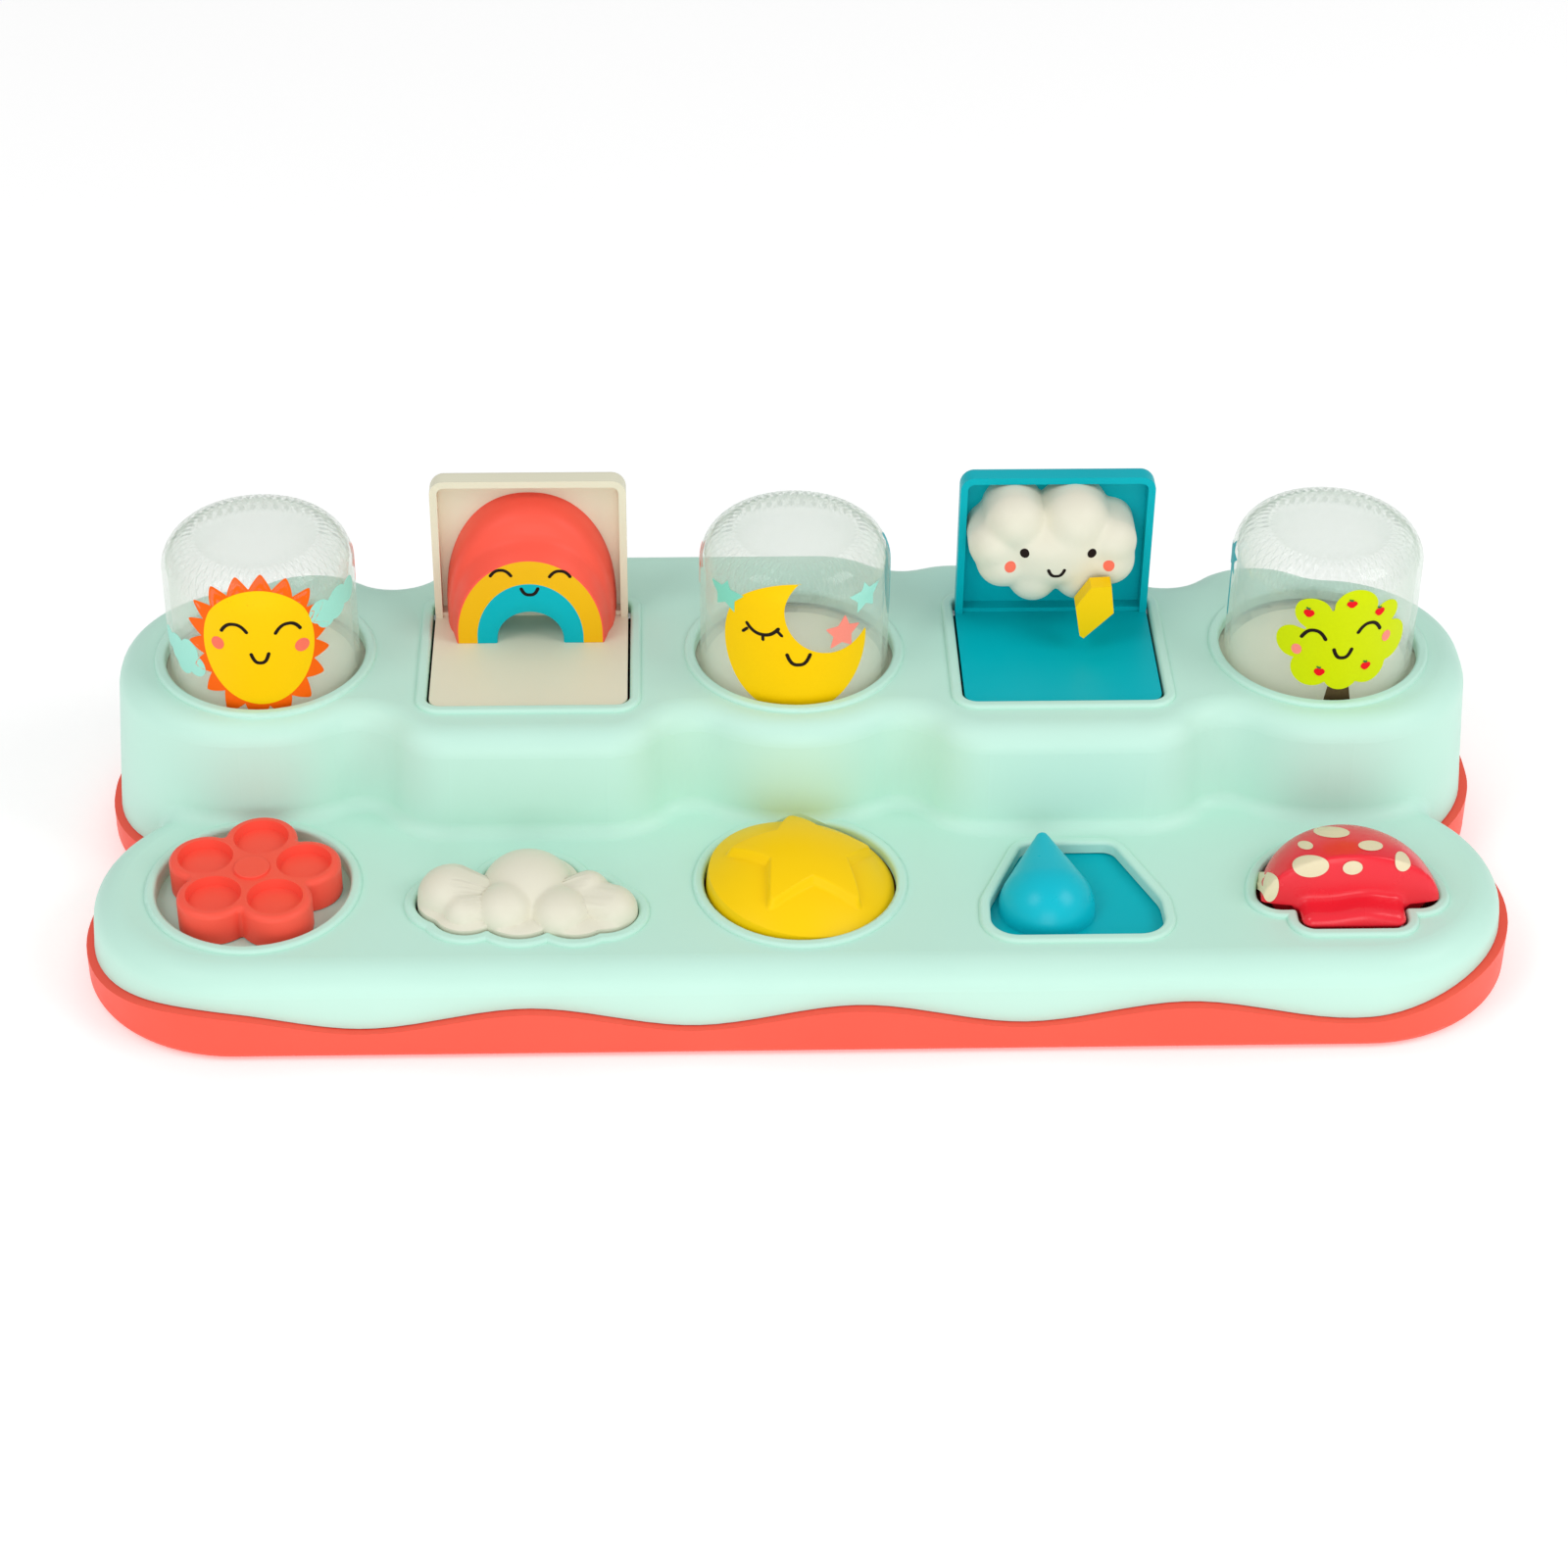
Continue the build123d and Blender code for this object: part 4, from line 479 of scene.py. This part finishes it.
def stroke(name, place, path, width, level, finish, body, slot):
    """Line of ink: a ribbon along a path, its half width rounded off over the last stretch."""
    path = np.asarray(path)
    along = np.gradient(path, axis=0)
    along /= np.linalg.norm(along, axis=1)[:, None]
    beside = np.column_stack([-along[:, 1], along[:, 0]])
    run = np.concatenate([[0], np.cumsum(np.linalg.norm(np.diff(path, axis=0), axis=1))])
    to_end = np.minimum(run, run[-1] - run) / (width / 2)
    half = width / 2 * np.sqrt(np.clip(1 - (1 - np.minimum(to_end, 1)) ** 2, 0.01, 1))
    offset = np.array([-1, -0.5, 0, 0.5, 1, 1, 0.5, 0, -0.5, -1.0])
    lift = np.repeat([level * layer - layer, level * layer], 5)[None, :] + 0 * half[:, None]
    flat = path[:, None, :] + beside[:, None, :] * (half[:, None] * offset)[..., None]
    return skin(name, place(flat[..., 0], flat[..., 1], lift), finish, body, slot)


def arc(x, z, half_width, height, power=2.0, steps=33):
    """Bow as a path: z rises by `height` in the middle and falls as a power of the distance."""
    run = np.sin(np.linspace(-np.pi / 2, np.pi / 2, steps))
    fall = np.abs(run) ** power
    return np.column_stack([x + half_width * run, z + height * (1 - fall) - height / 2])


print("ink layer", layer, "mm")

# %% [markdown]
# ## The domes
# Each dome is one clear moulding, open below, with a ring of small pyramids moulded inside its
# shoulder that makes the top sparkle. The wall is a profile turned about the middle: the rows
# go down the outside, round the flange and up the inside, and the columns go round. Inside the
# shoulder the radius rises and falls as two crossed triangle waves, which makes the pyramids.

# %% Dome skins
dome_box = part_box("dome_middle")
dome_y = (dome_box[0][1] + dome_box[1][1]) / 2 / MM
foot, dome_top = dome_box[0][2] / MM, dome_box[1][2] / MM
flange_radius = (dome_box[1][0] - dome_box[0][0]) / 2 / MM
body_radius, wall, shoulder, crown, flange = 25.65, 1.5, 10.0, 1.2, 1.0
shoulder_z = dome_top - crown - shoulder
knee_radius = body_radius - shoulder
gems_round, gem_depth, gem_sink = 52, 0.9, 0.45
spread = np.linspace(0, 2 * np.pi, gems_round * 6, endpoint=False)


def knee(radius, steps):
    """Quarter round of the shoulder: radius and height as cosine and sine of one angle."""
    bend = np.linspace(np.pi / 2, 0, steps)
    return np.column_stack([knee_radius + radius * np.cos(bend), shoulder_z + radius * np.sin(bend)])


cap_run = np.linspace(0.02, 1, 8)[:-1]
cap_rows = np.column_stack([knee_radius * cap_run, dome_top - crown * cap_run**2])
wall_rows = np.column_stack([np.full(8, body_radius), np.linspace(shoulder_z - 3, foot + flange + 0.4, 8)])
flange_rows = np.array([(body_radius + 0.4, foot + flange), (flange_radius - 0.2, foot + flange),
                        (flange_radius, foot + flange - 0.2), (flange_radius, foot + 0.2),
                        (flange_radius - 0.2, foot), (body_radius - wall, foot)])
inside_rows = np.column_stack([np.full(6, body_radius - wall), np.linspace(foot + 2, shoulder_z - 1, 6)])
gem_rows = knee(shoulder - wall, 33)[::-1]
ceiling_rows = np.column_stack([knee_radius * cap_run[::-1], np.full(7, dome_top - crown - wall)])
profile = np.vstack([cap_rows, knee(shoulder, len(gem_rows)), wall_rows, flange_rows, inside_rows,
                     gem_rows, ceiling_rows])
first_gem = len(profile) - len(ceiling_rows) - len(gem_rows)


def zigzag(phase):
    """Triangle wave between zero and one, one full wave for each whole step of the phase."""
    return 1 - np.abs(2 * (phase % 1) - 1)


gem_run = np.linspace(0, 4, len(gem_rows))[:, None]
gem_turn = gems_round * spread[None, :] / (2 * np.pi)
pyramid = np.minimum(zigzag(gem_turn + gem_run / 2), zigzag(gem_turn - gem_run / 2))
fade = np.clip(np.minimum(gem_run, 4 - gem_run) * 3, 0, 1)
gem = np.zeros((len(profile), len(spread)))
gem[first_gem : first_gem + len(gem_rows)] = gem_depth * pyramid * fade
# The far side also carries the pyramids' faint sink marks on the outside of the shoulder
sink = gem_sink * pyramid[::-1] * fade[::-1] * np.clip(np.sin(spread), 0, 1)
gem[len(cap_rows) : len(cap_rows) + len(gem_rows)] = -sink
lean = np.zeros(len(profile))
lean[first_gem : first_gem + len(gem_rows)] = np.linspace(0, np.pi / 2, len(gem_rows))
lean[len(cap_rows) : len(cap_rows) + len(gem_rows)] = np.linspace(np.pi / 2, 0, len(gem_rows))
# Every fourth facet of the far side takes a greyer finish, painted shade that stands for the darker
# surroundings those facets reflect, so that the pattern shows
first_turn, second_turn = gem_turn + gem_run / 2, gem_turn - gem_run / 2
painted_shade_mask = (first_turn % 1 < 0.5) & (second_turn % 1 >= 0.5) & (fade > 0.5) & (np.sin(spread) > -0.1)
painted_shade_index = np.zeros((len(profile) - 1, len(spread)), dtype=np.int32)
painted_shade_index[len(cap_rows) : len(cap_rows) + len(gem_rows)] = painted_shade_mask[::-1]
painted_shade_index = np.concatenate([painted_shade_index.ravel(), np.zeros(2 * len(spread), dtype=np.int32)])
dome_bodies = {"left": "sun_pop_up", "middle": "moon_pop_up", "right": "tree_pop_up"}
dome_xs = {side: sum(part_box("dome_" + side)[end][0] for end in (0, 1)) / 2 / MM for side in dome_bodies}
for side, body in dome_bodies.items():
    reach = profile[:, :1] + gem * np.cos(lean)[:, None]
    height = profile[:, 1:] + gem * np.sin(lean)[:, None]
    dome_grid = np.stack([dome_xs[side] + reach * np.cos(spread), dome_y + reach * np.sin(spread),
                          height + 0 * spread], axis=-1)
    shell = skin("dome_shell_" + side, dome_grid, clear, body, "clear_plastic", crease=25.0)
    shell.data.materials.append(painted_shade_facet)
    shell.data.polygons.foreach_set("material_index", painted_shade_index)
    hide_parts("dome_" + side)
print("dome rows", len(profile), "columns", len(spread))


# %% Wrap on a dome
def on_dome(middle_x):
    """Placer for a dome: x wraps round the wall, and past the shoulder height leans inwards."""
    def place(x, z, lift):
        """Point on the wall, or on the shoulder once the height is past the wall's end."""
        height = np.maximum(z, foot + flange + 0.3)
        lean = np.clip(0.8 * (height - shoulder_z) / shoulder, 0, 1.4)
        reach = knee_radius + (shoulder + lift) * np.cos(lean)
        turn = x / body_radius
        return np.stack([middle_x + reach * np.sin(turn), dome_y - reach * np.cos(turn),
                         np.minimum(height, shoulder_z) + (shoulder + lift) * np.sin(lean)], axis=-1)
    return place


def on_front(y):
    """Placer for a flat front: straight out of the plane at `y`."""
    def place(x, z, lift):
        """Point in front of the plane by the lift."""
        return np.stack([x + 0 * lift, y - lift + 0 * x, z + 0 * lift], axis=-1)
    return place


def on_cloud(x, z, lift):
    """Placer for the cloud: walk back until the cloud is met, then out again by the lift."""
    start = np.stack([x, np.full(x.shape, cloud_front - 1.0), z], axis=-1)
    met = march(start, np.array([0, 1.0, 0]), 20.0, lambda p: 0.9 * cloud_gap(p))
    met[..., 1] -= lift + 0 * x
    return met


def oval(half_width, half_height, points=64):
    """Radius of an ellipse at each angle: one over the root of the two squared shares."""
    turn = np.linspace(0, 2 * np.pi, points, endpoint=False)
    return 1 / np.hypot(np.cos(turn) / half_width, np.sin(turn) / half_height)


def scallop(circles, points=160):
    """Outline round overlapping circles: for each angle the furthest crossing with any of them."""
    turn = np.linspace(0, 2 * np.pi, points, endpoint=False)[:, None]
    x, z, radius = np.array(circles).T
    toward = x * np.cos(turn) + z * np.sin(turn)
    inside = radius**2 - (x**2 + z**2 - toward**2)
    return np.where(inside > 0, toward + np.sqrt(np.maximum(inside, 0)), 0.5).max(axis=1)


def star(reach, waist, points=100, phase=0.0, wide=1.0):
    """Five pointed outline: the straight line from tip to waist in each tenth of the turn."""
    turn = np.linspace(0, 2 * np.pi, points, endpoint=False)
    fold = np.abs((turn - np.pi / 2 - phase + np.pi / 5) % (2 * np.pi / 5) - np.pi / 5)
    tip = np.array([reach, 0.0])
    hollow = waist * np.array([np.cos(np.pi / 5), np.sin(np.pi / 5)])
    edge = hollow - tip
    radius = (tip[0] * edge[1]) / (np.cos(fold) * edge[1] - np.sin(fold) * edge[0])
    return radius * (1 + (wide - 1) * np.cos(turn) ** 2)


# %% The smiling sun
sun = on_dome(dome_xs["left"])
dress = ("sun_pop_up", "clear_plastic")
turn = np.linspace(0, 2 * np.pi, 18 * 12, endpoint=False)
spike = np.minimum(zigzag(18 * turn / (2 * np.pi) + 0.25), 0.94)
rays = oval(16.0, 19.0, len(turn)) + (oval(20.9, 24.5, len(turn)) - oval(16.0, 19.0, len(turn))) * spike
blot("sun_rays", sun, (1.7, 75.6), rays, 1, ink_orange, *dress)
blot("sun_disc", sun, (1.8, 75.7), oval(15.3, 18.3, 96), 2, ink_yellow, *dress)
for name, x, z in (("left", -4.5, 81.4), ("right", 9.8, 80.6)):
    stroke("sun_eye_" + name, sun, arc(x, z, 3.6, 2.8, 2.4), 0.95, 3, ink_dark, *dress)
stroke("sun_smile", sun, arc(1.9, 72.3, 2.4, -3.2, 3.0), 0.95, 3, ink_dark, *dress)
blot("sun_cheek_left", sun, (-9.3, 76.2), oval(1.8, 2.0, 32), 3, ink_coral, *dress)
blot("sun_cheek_right", sun, (13.4, 74.2), oval(2.1, 2.0, 32), 3, ink_coral, *dress)
left_puffs = [(0, 0, 4.4), (5.5, 2.3, 3.2), (-5.5, 0.9, 3.0), (7.5, -1.8, 3.4), (2.5, -2.8, 3.6)]
blot("sky_cloud_left", sun, (-25.0, 68.0), scallop(left_puffs), 1, ink_mint, *dress)
right_puffs = [(0, 0, 4.2), (-6.2, 0.8, 3.5), (6.4, 1.0, 3.6), (1.0, 1.4, 3.8), (-4.0, -1.6, 3.4)]
blot("sky_cloud_right", sun, (25.8, 81.3), scallop(right_puffs), 1, ink_mint, *dress)
blot("far_star_coral", sun, (45.0, 84.0), star(6.0, 3.0), 1, ink_coral, *dress)
print("sun has", len(rays), "outline points")

# %% The sleeping moon
moon = on_dome(dome_xs["middle"])
dress = ("moon_pop_up", "clear_plastic")
outer_turn = np.radians(np.linspace(86.0, 363.0, 97))
inner_turn = np.radians(np.linspace(135.0, 315.0, 97))
outer_edge = np.column_stack([-0.5 + 21 * np.cos(outer_turn), 73.8 + 21 * np.sin(outer_turn)])
inner_edge = np.column_stack([10.3 + 13.9 * np.cos(inner_turn), 85.2 + 13.9 * np.sin(inner_turn)])
share = np.concatenate([np.linspace(0, 1, 9), np.linspace(1, 0, 9)])[:, None]
flat = inner_edge[:, None] + (outer_edge - inner_edge)[:, None] * share
lift = np.repeat([0.0, layer], 9)[None, :] + np.zeros((len(flat), 1))
skin("moon_crescent", moon(flat[..., 0], flat[..., 1], lift), ink_yellow, *dress)
stroke("moon_lid", moon, arc(-9.6, 78.7, 4.7, -2.9, 2.4), 1.0, 2, ink_dark, *dress)
lashes = (((-15.6, 76.4), (-13.6, 78.4)), ((-9.4, 77.4), (-9.3, 75.2)), ((-5.6, 79.2), (-3.9, 77.3)))
for count, (near, far) in enumerate(lashes):
    stroke(f"moon_lash_{count}", moon, np.linspace(near, far, 7), 0.85, 2, ink_dark, *dress)
stroke("moon_smile", moon, arc(0.3, 70.4, 3.2, -3.6, 3.0), 1.0, 2, ink_dark, *dress)
blot("sky_star_teal", moon, (-21.3, 86.0), star(4.9, 2.6, wide=1.35), 2, ink_teal, *dress)
blot("sky_star_coral", moon, (12.6, 76.8), star(5.6, 2.9, phase=-0.1), 2, ink_pink, *dress)
blot("sky_star_pale", moon, (20.3, 85.6), star(4.8, 2.5, wide=1.3), 1, ink_mint, *dress)
blot("far_moon_teal", moon, (43.0, 80.0), oval(4.5, 14.0), 1, ink_sea, *dress)
blot("far_flower_coral", moon, (-43.5, 84.0), star(6.5, 3.4), 1, ink_coral, *dress)
print("moon rows", len(flat))

# %% The apple tree
tree_wall = on_dome(dome_xs["right"])
dress = ("tree_pop_up", "clear_plastic")
leaves = [(-8.2, 8.7, 4.9), (3.3, 11.0, 6.0), (12.6, 7.5, 3.7), (13.9, -2.0, 6.3), (8.3, -8.5, 5.4),
          (1.0, -10.2, 5.0), (-7.2, -8.7, 5.6), (-12.6, -1.2, 5.0), (0.2, 0.0, 10.5)]
trunk_side = np.linspace(0, 1, 9)[:, None]
left_edge = np.column_stack([-2.4 + 0.9 * trunk_side[:, 0], 54.0 + 6 * trunk_side[:, 0]])
right_edge = np.column_stack([5.4 - 1.1 * trunk_side[:, 0], 54.0 + 6 * trunk_side[:, 0]])
flat = left_edge[:, None] + (right_edge - left_edge)[:, None] * share
lift = np.repeat([0.0, layer], 9)[None, :] + np.zeros((len(flat), 1))
skin("tree_trunk", tree_wall(flat[..., 0], flat[..., 1], lift), ink_bark, *dress)
blot("tree_crown", tree_wall, (0.8, 74.4), scallop(leaves, 200), 2, ink_lime, *dress)
apples = ((-8.5, 83.0), (2.6, 86.6), (10.9, 82.8), (-4.1, 64.8), (8.5, 66.0))
apple_shape = scallop([(-0.5, 0.1, 0.95), (0.5, 0.1, 0.95), (0, -0.2, 1.1)], 48)
for count, (x, z) in enumerate(apples):
    blot(f"apple_{count}", tree_wall, (x, z), apple_shape, 3, ink_red, *dress)
    stalk = np.linspace((x, z + 0.9), (x + 0.2, z + 1.7), 5)
    stroke(f"apple_stalk_{count}", tree_wall, stalk, 0.35, 4, ink_leaf, *dress)
    leaf = np.linspace((x + 0.1, z + 1.1), (x - 0.9, z + 1.7), 5)
    stroke(f"apple_leaf_{count}", tree_wall, leaf, 0.5, 4, ink_leaf, *dress)
for name, x, z in (("left", -6.6, 76.3), ("right", 8.4, 78.3)):
    stroke("tree_eye_" + name, tree_wall, arc(x, z, 3.4, 3.0, 2.4), 1.0, 3, ink_dark, *dress)
stroke("tree_smile", tree_wall, arc(1.5, 71.0, 2.5, -3.1, 3.0), 1.0, 3, ink_dark, *dress)
blot("tree_cheek_left", tree_wall, (-10.8, 71.0), oval(1.4, 1.6, 32), 3, ink_pink, *dress)
blot("tree_cheek_right", tree_wall, (14.1, 74.0), oval(1.4, 1.7, 32), 3, ink_pink, *dress)
far_stem = np.linspace((-41.0, 66.0), (-41.0, 90.0), 15)
stroke("far_stem_sea", tree_wall, far_stem, 1.6, 1, ink_sea, *dress)
blot("far_tulip_sea", tree_wall, (-41.0, 85.5), star(5.5, 3.0), 2, ink_sea, *dress)
print("apples", len(apples))

# %% Faces of the rainbow and the cloud
bands_face = on_front(arch_front)
dress = ("rainbow_flap", "coral_plastic")
for name, x, z in (("left", -79.5, 78.7), ("right", -63.5, 78.3)):
    stroke("rainbow_eye_" + name, bands_face, arc(x, z, 3.0, 2.2, 2.4), 0.9, 1, ink_dark, *dress)
stroke("rainbow_smile", bands_face, arc(-71.8, 73.0, 2.4, -2.4, 3.0), 0.95, 1, ink_dark, *dress)
dress = ("cloud_flap", "cloud_plastic")
for name, x, z in (("left", 62.3, 84.2), ("right", 80.6, 83.9)):
    blot("cloud_eye_" + name, on_cloud, (x, z), oval(1.25, 1.35, 32), 1, ink_dark, *dress)
for name, x, z in (("left", 58.6, 79.8), ("right", 85.4, 80.0)):
    blot("cloud_cheek_" + name, on_cloud, (x, z), oval(1.55, 1.7, 32), 1, ink_coral, *dress)
stroke("cloud_smile", on_cloud, arc(71.1, 78.6, 2.3, -2.4, 3.0), 0.9, 1, ink_dark, *dress)
print("faces printed")

# %% [markdown]
# ## The star
# The star rocks on an axle through its middle and rests with its left side up. Its top is a
# shallow ball, its side a steeper one that clears the opening, and the star stands a little
# above the disc with soft edges: the relief fades out over a short way at the star's outline.

# %% Star disc
disc_radius, disc_skirt, disc_brim, disc_rise, disc_wall = 24.9, 5.0, 3.0, 9.0, 1.8
disc_pivot = np.array([0.0, row_y, 24.0])
disc_tilt = np.radians(7.0)
brim_reach = np.sqrt(disc_radius**2 - disc_brim**2)
disc_ball = (brim_reach**2 + disc_rise**2) / (2 * disc_rise)
disc_top = disc_brim + disc_rise
star_relief, star_soft = 2.3, 1.5
tip_limit, tip_blend = 20.2, 0.5


def disc_height(reach, thinner):
    """Height of the shallow ball above the pivot, for a ball made smaller by `thinner`."""
    return disc_top - disc_ball + np.sqrt((disc_ball - thinner) ** 2 - reach**2)


top_reach = brim_reach * np.linspace(0.01, 1, 84)
side_height = np.linspace(disc_brim, -disc_skirt, 12)[1:]
side_reach = np.sqrt(disc_radius**2 - side_height**2)
inside_height = np.linspace(-disc_skirt, 0.0, 5)
inside_reach = np.sqrt(disc_radius**2 - inside_height**2) - disc_wall
under_reach = (brim_reach - disc_wall) * np.linspace(0.96, 0.02, 14)
disc_profile = np.vstack([
    np.column_stack([top_reach, disc_height(top_reach, 0.0)]),
    np.column_stack([side_reach, side_height]),
    np.column_stack([inside_reach, inside_height]),
    np.column_stack([under_reach, disc_height(under_reach, disc_wall)]),
])
columns = 480
points = star(21.5, 11.4, columns, phase=np.radians(8.4))
points = -tip_blend * np.log(np.exp(-points / tip_blend) + np.exp(-tip_limit / tip_blend))
inward = np.clip((points - top_reach[:, None]) / star_soft + 0.5, 0, 1)
relief = np.zeros((len(disc_profile), columns))
relief[: len(top_reach)] = star_relief * inward**2 * (3 - 2 * inward)
disc_turn = np.linspace(0, 2 * np.pi, columns, endpoint=False)
flat_x = disc_profile[:, :1] * np.cos(disc_turn)
flat_y = disc_profile[:, :1] * np.sin(disc_turn)
flat_z = disc_profile[:, 1:] + relief
disc_grid = disc_pivot + np.stack([flat_x * np.cos(disc_tilt) + flat_z * np.sin(disc_tilt), flat_y,
                                   flat_z * np.cos(disc_tilt) - flat_x * np.sin(disc_tilt)], axis=-1)
star_slot = slot_of["star_rocker"]
disc = skin("star_disc", disc_grid, finishes[star_slot], "star", star_slot)
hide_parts("star_rocker")
print("star disc rows", len(disc_profile), "columns", columns)

# %% [markdown]
# ## The mushroom
# The cap is half a flattened ball that ends in a soft brow over a short stem. A smooth union
# eases the joint, and rays from outside walk in until they meet the skin.
# The cream spots are ink that is pressed on along one slanting direction, as a pad would.

# %% Mushroom skin
mushroom_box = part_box("mushroom_rocker")
cap_x = (mushroom_box[0][0] + mushroom_box[1][0]) / 2 / MM
cap_top = mushroom_box[1][2] / MM
cap_foot = 27.5
cap_rise = cap_top - cap_foot
brim_y = row_y - 12.4
cap_half = np.array([23.4, 26.4, cap_rise])
brow_depth = 2.3
stem_middle = np.array([cap_x, row_y - 15.6, 24.0])
stem_half = np.array([13.7, 7.0, 7.0])
stem_corner, stem_blend = 2.8, 0.8
ridge_rise, ridge_x, ridge_width = 1.6, 3.0, 7.0
lean_share = 0.03


def mushroom_gap(points):
    """Gap to the mushroom: half a flattened ball behind the brim, a thin one before it, a stem."""
    x, y, z = points[..., 0] - cap_x, points[..., 1] - brim_y, points[..., 2]
    depth = np.where(y > 0, cap_half[1], brow_depth)
    size = np.sqrt((x / cap_half[0]) ** 2 + (y / depth) ** 2 + ((z - cap_foot) / cap_rise) ** 2)
    cap = np.maximum((size - 1) * np.where(y > 0, cap_rise, brow_depth), cap_foot - 0.4 - z)
    ridge = ridge_rise * np.exp(-((x - ridge_x) / ridge_width) ** 2)
    height = z - stem_middle[2] - ridge + ridge_rise
    lowered = np.stack([x, points[..., 1] - stem_middle[1], height], axis=-1)
    corner = np.abs(lowered) - stem_half + stem_corner
    stem = np.linalg.norm(np.maximum(corner, 0), axis=-1) + np.minimum(corner.max(axis=-1), 0) - stem_corner
    return -stem_blend * np.log(np.exp(-cap / stem_blend) + np.exp(-stem / stem_blend))


core = np.array([cap_x, row_y - 7.0, cap_foot - 0.5])
outward = half_sphere(64, 220)
cap_skin = march(core + 40 * outward, -outward, 39.0, lambda p: 0.6 * mushroom_gap(p), 90)
# The wall under the brim leans inwards, so that it clears the opening when the cap tips
wall_drop = np.linspace(0.5, 4.5, 5)[:, None, None]
wall_lean = (core - cap_skin[-1]) * np.array([lean_share, lean_share, 0.0])
mushroom_grid = np.concatenate([cap_skin, cap_skin[-1] + wall_drop * (wall_lean - np.array([0, 0, 1.0]))])
mushroom = skin("mushroom_cap_and_stem", mushroom_grid, berry, "mushroom", "red_plastic")
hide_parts("mushroom_rocker")

# %% Mushroom spots
press_lean = 0.634
press = np.array([0.0, np.cos(press_lean), -np.sin(press_lean)])
rise = np.array([0.0, np.sin(press_lean), np.cos(press_lean)])
anchor = np.array([cap_x, -50.0, 35.0])


def on_cap(x, z, lift):
    """Placer for the cap: a leaning sheet whose points are pushed along one way onto the skin."""
    start = anchor - 30 * press + x[..., None] * np.array([1.0, 0, 0]) + z[..., None] * rise
    met = march(start, press, 60.0, lambda p: 0.6 * mushroom_gap(p), 90)
    return met - press * (lift + 0 * x)[..., None]


spots = ((-4.0, 10.0, 4.4, 1.4), (-11.7, 6.7, 1.7, 1.1), (-11.5, 1.3, 4.6, 2.9), (4.7, 6.5, 3.4, 1.3),
         (-0.7, 0.8, 2.6, 1.8), (12.6, 2.3, 2.2, 2.6), (-21.4, -4.2, 2.0, 3.9))
for count, (x, z, wide, high) in enumerate(spots):
    spot = oval(wide, high, 48)
    blot(f"mushroom_spot_{count}", on_cap, (x, z), spot, 4, ink_spot, "mushroom", "red_plastic")
print("spots", len(spots))

# %% [markdown]
# ## Floor, light and camera
# A toy like this is shown on a plain pale sweep. The floor is one large sheet with the faint
# tooth of matt paper. The sky is an even white, with two soft lamps from the upper left and
# right and a broad one from the front, so that edges keep a soft highlight and a soft shadow.

# %% Floor
paper, tree, place = start("paper_matt_white")
tooth = add(tree, "TexNoise", {"Scale": 1 / (3 * MM), "Detail": 3.0}, {"Vector": place})
shade = add(tree, "Mix", {"data_type": "RGBA", 6: linear("#FBFBFB"), 7: linear("#F8F8F8")},
            {0: tooth.outputs["Fac"]})
grain = add(tree, "Bump", {"Strength": 0.1, "Distance": 0.05 * MM}, {"Height": tooth.outputs["Fac"]})
sheet = add(tree, "BsdfPrincipled", {"Roughness": 0.9, "Specular IOR Level": 0.1,
                                     "Emission Color": (1.0, 1.0, 1.0, 1.0), "Emission Strength": 0.27},
            {"Base Color": shade.outputs[2], "Normal": grain.outputs[0]})
close(tree, sheet)
half = 3.0
floor_mesh = bpy.data.meshes.new("floor")
floor_mesh.from_pydata([(-half, -half, 0), (half, -half, 0), (half, half, 0), (-half, half, 0)],
                       [], [(0, 1, 2, 3)])
floor_mesh.materials.append(paper)
floor = bpy.data.objects.new("floor", floor_mesh)
bpy.context.scene.collection.objects.link(floor)
floor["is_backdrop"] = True

# %% Light
world = bpy.data.worlds.new("white_sky")
world.use_nodes = True
world.node_tree.nodes["Background"].inputs["Color"].default_value = (1.0, 1.0, 1.0, 1.0)
world.node_tree.nodes["Background"].inputs["Strength"].default_value = 0.56
bpy.context.scene.world = world


def lamp(name, place, aim, width, watts):
    """A square soft box at `place`, turned so that its face looks at `aim`."""
    light = bpy.data.lights.new(name, "AREA")
    light.shape = "SQUARE"
    light.size = width
    light.energy = watts
    box = bpy.data.objects.new(name, light)
    box.location = place
    box.rotation_euler = (Vector(aim) - Vector(place)).to_track_quat("-Z", "Y").to_euler()
    bpy.context.scene.collection.objects.link(box)


lamp("soft_box_left", (-0.9, -0.7, 1.3), (0, 0, 0.03), 0.7, 5.0)
lamp("soft_box_right", (1.1, -0.5, 1.1), (0, 0, 0.03), 0.7, 6.0)
lamp("soft_box_front", (0.0, -2.2, 0.5), (0, 0, 0.05), 1.2, 11.0)
bpy.context.scene.view_settings.view_transform = "Standard"

# %% Camera
yaw, pitch, roll = 0.0359, 0.63355, 0.01188
stand = (-0.0321, -0.8071, 0.6213)
film_width, focal_length = 36.0, 84.29
ahead = np.array([np.sin(yaw) * np.cos(pitch), np.cos(yaw) * np.cos(pitch), -np.sin(pitch)])
level = np.array([np.cos(yaw), -np.sin(yaw), 0.0])
upward = np.cross(level, ahead)
side = np.cos(roll) * level + np.sin(roll) * upward
top = -np.sin(roll) * level + np.cos(roll) * upward
turn = Matrix(np.column_stack([side, top, -ahead]).tolist()).to_4x4()
lens = bpy.data.cameras.new("camera")
lens.sensor_width = film_width
lens.lens = focal_length
camera = bpy.data.objects.new("camera", lens)
camera.matrix_world = Matrix.Translation(stand) @ turn
bpy.context.scene.collection.objects.link(camera)
bpy.context.scene.camera = camera
print("camera looks down", round(np.degrees(pitch), 1), "degrees")

# %% [markdown]
# ## Measure
# The dressed model has to stay as large as the solids, so its box is measured.

# %% Measure the dressed model
low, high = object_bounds()
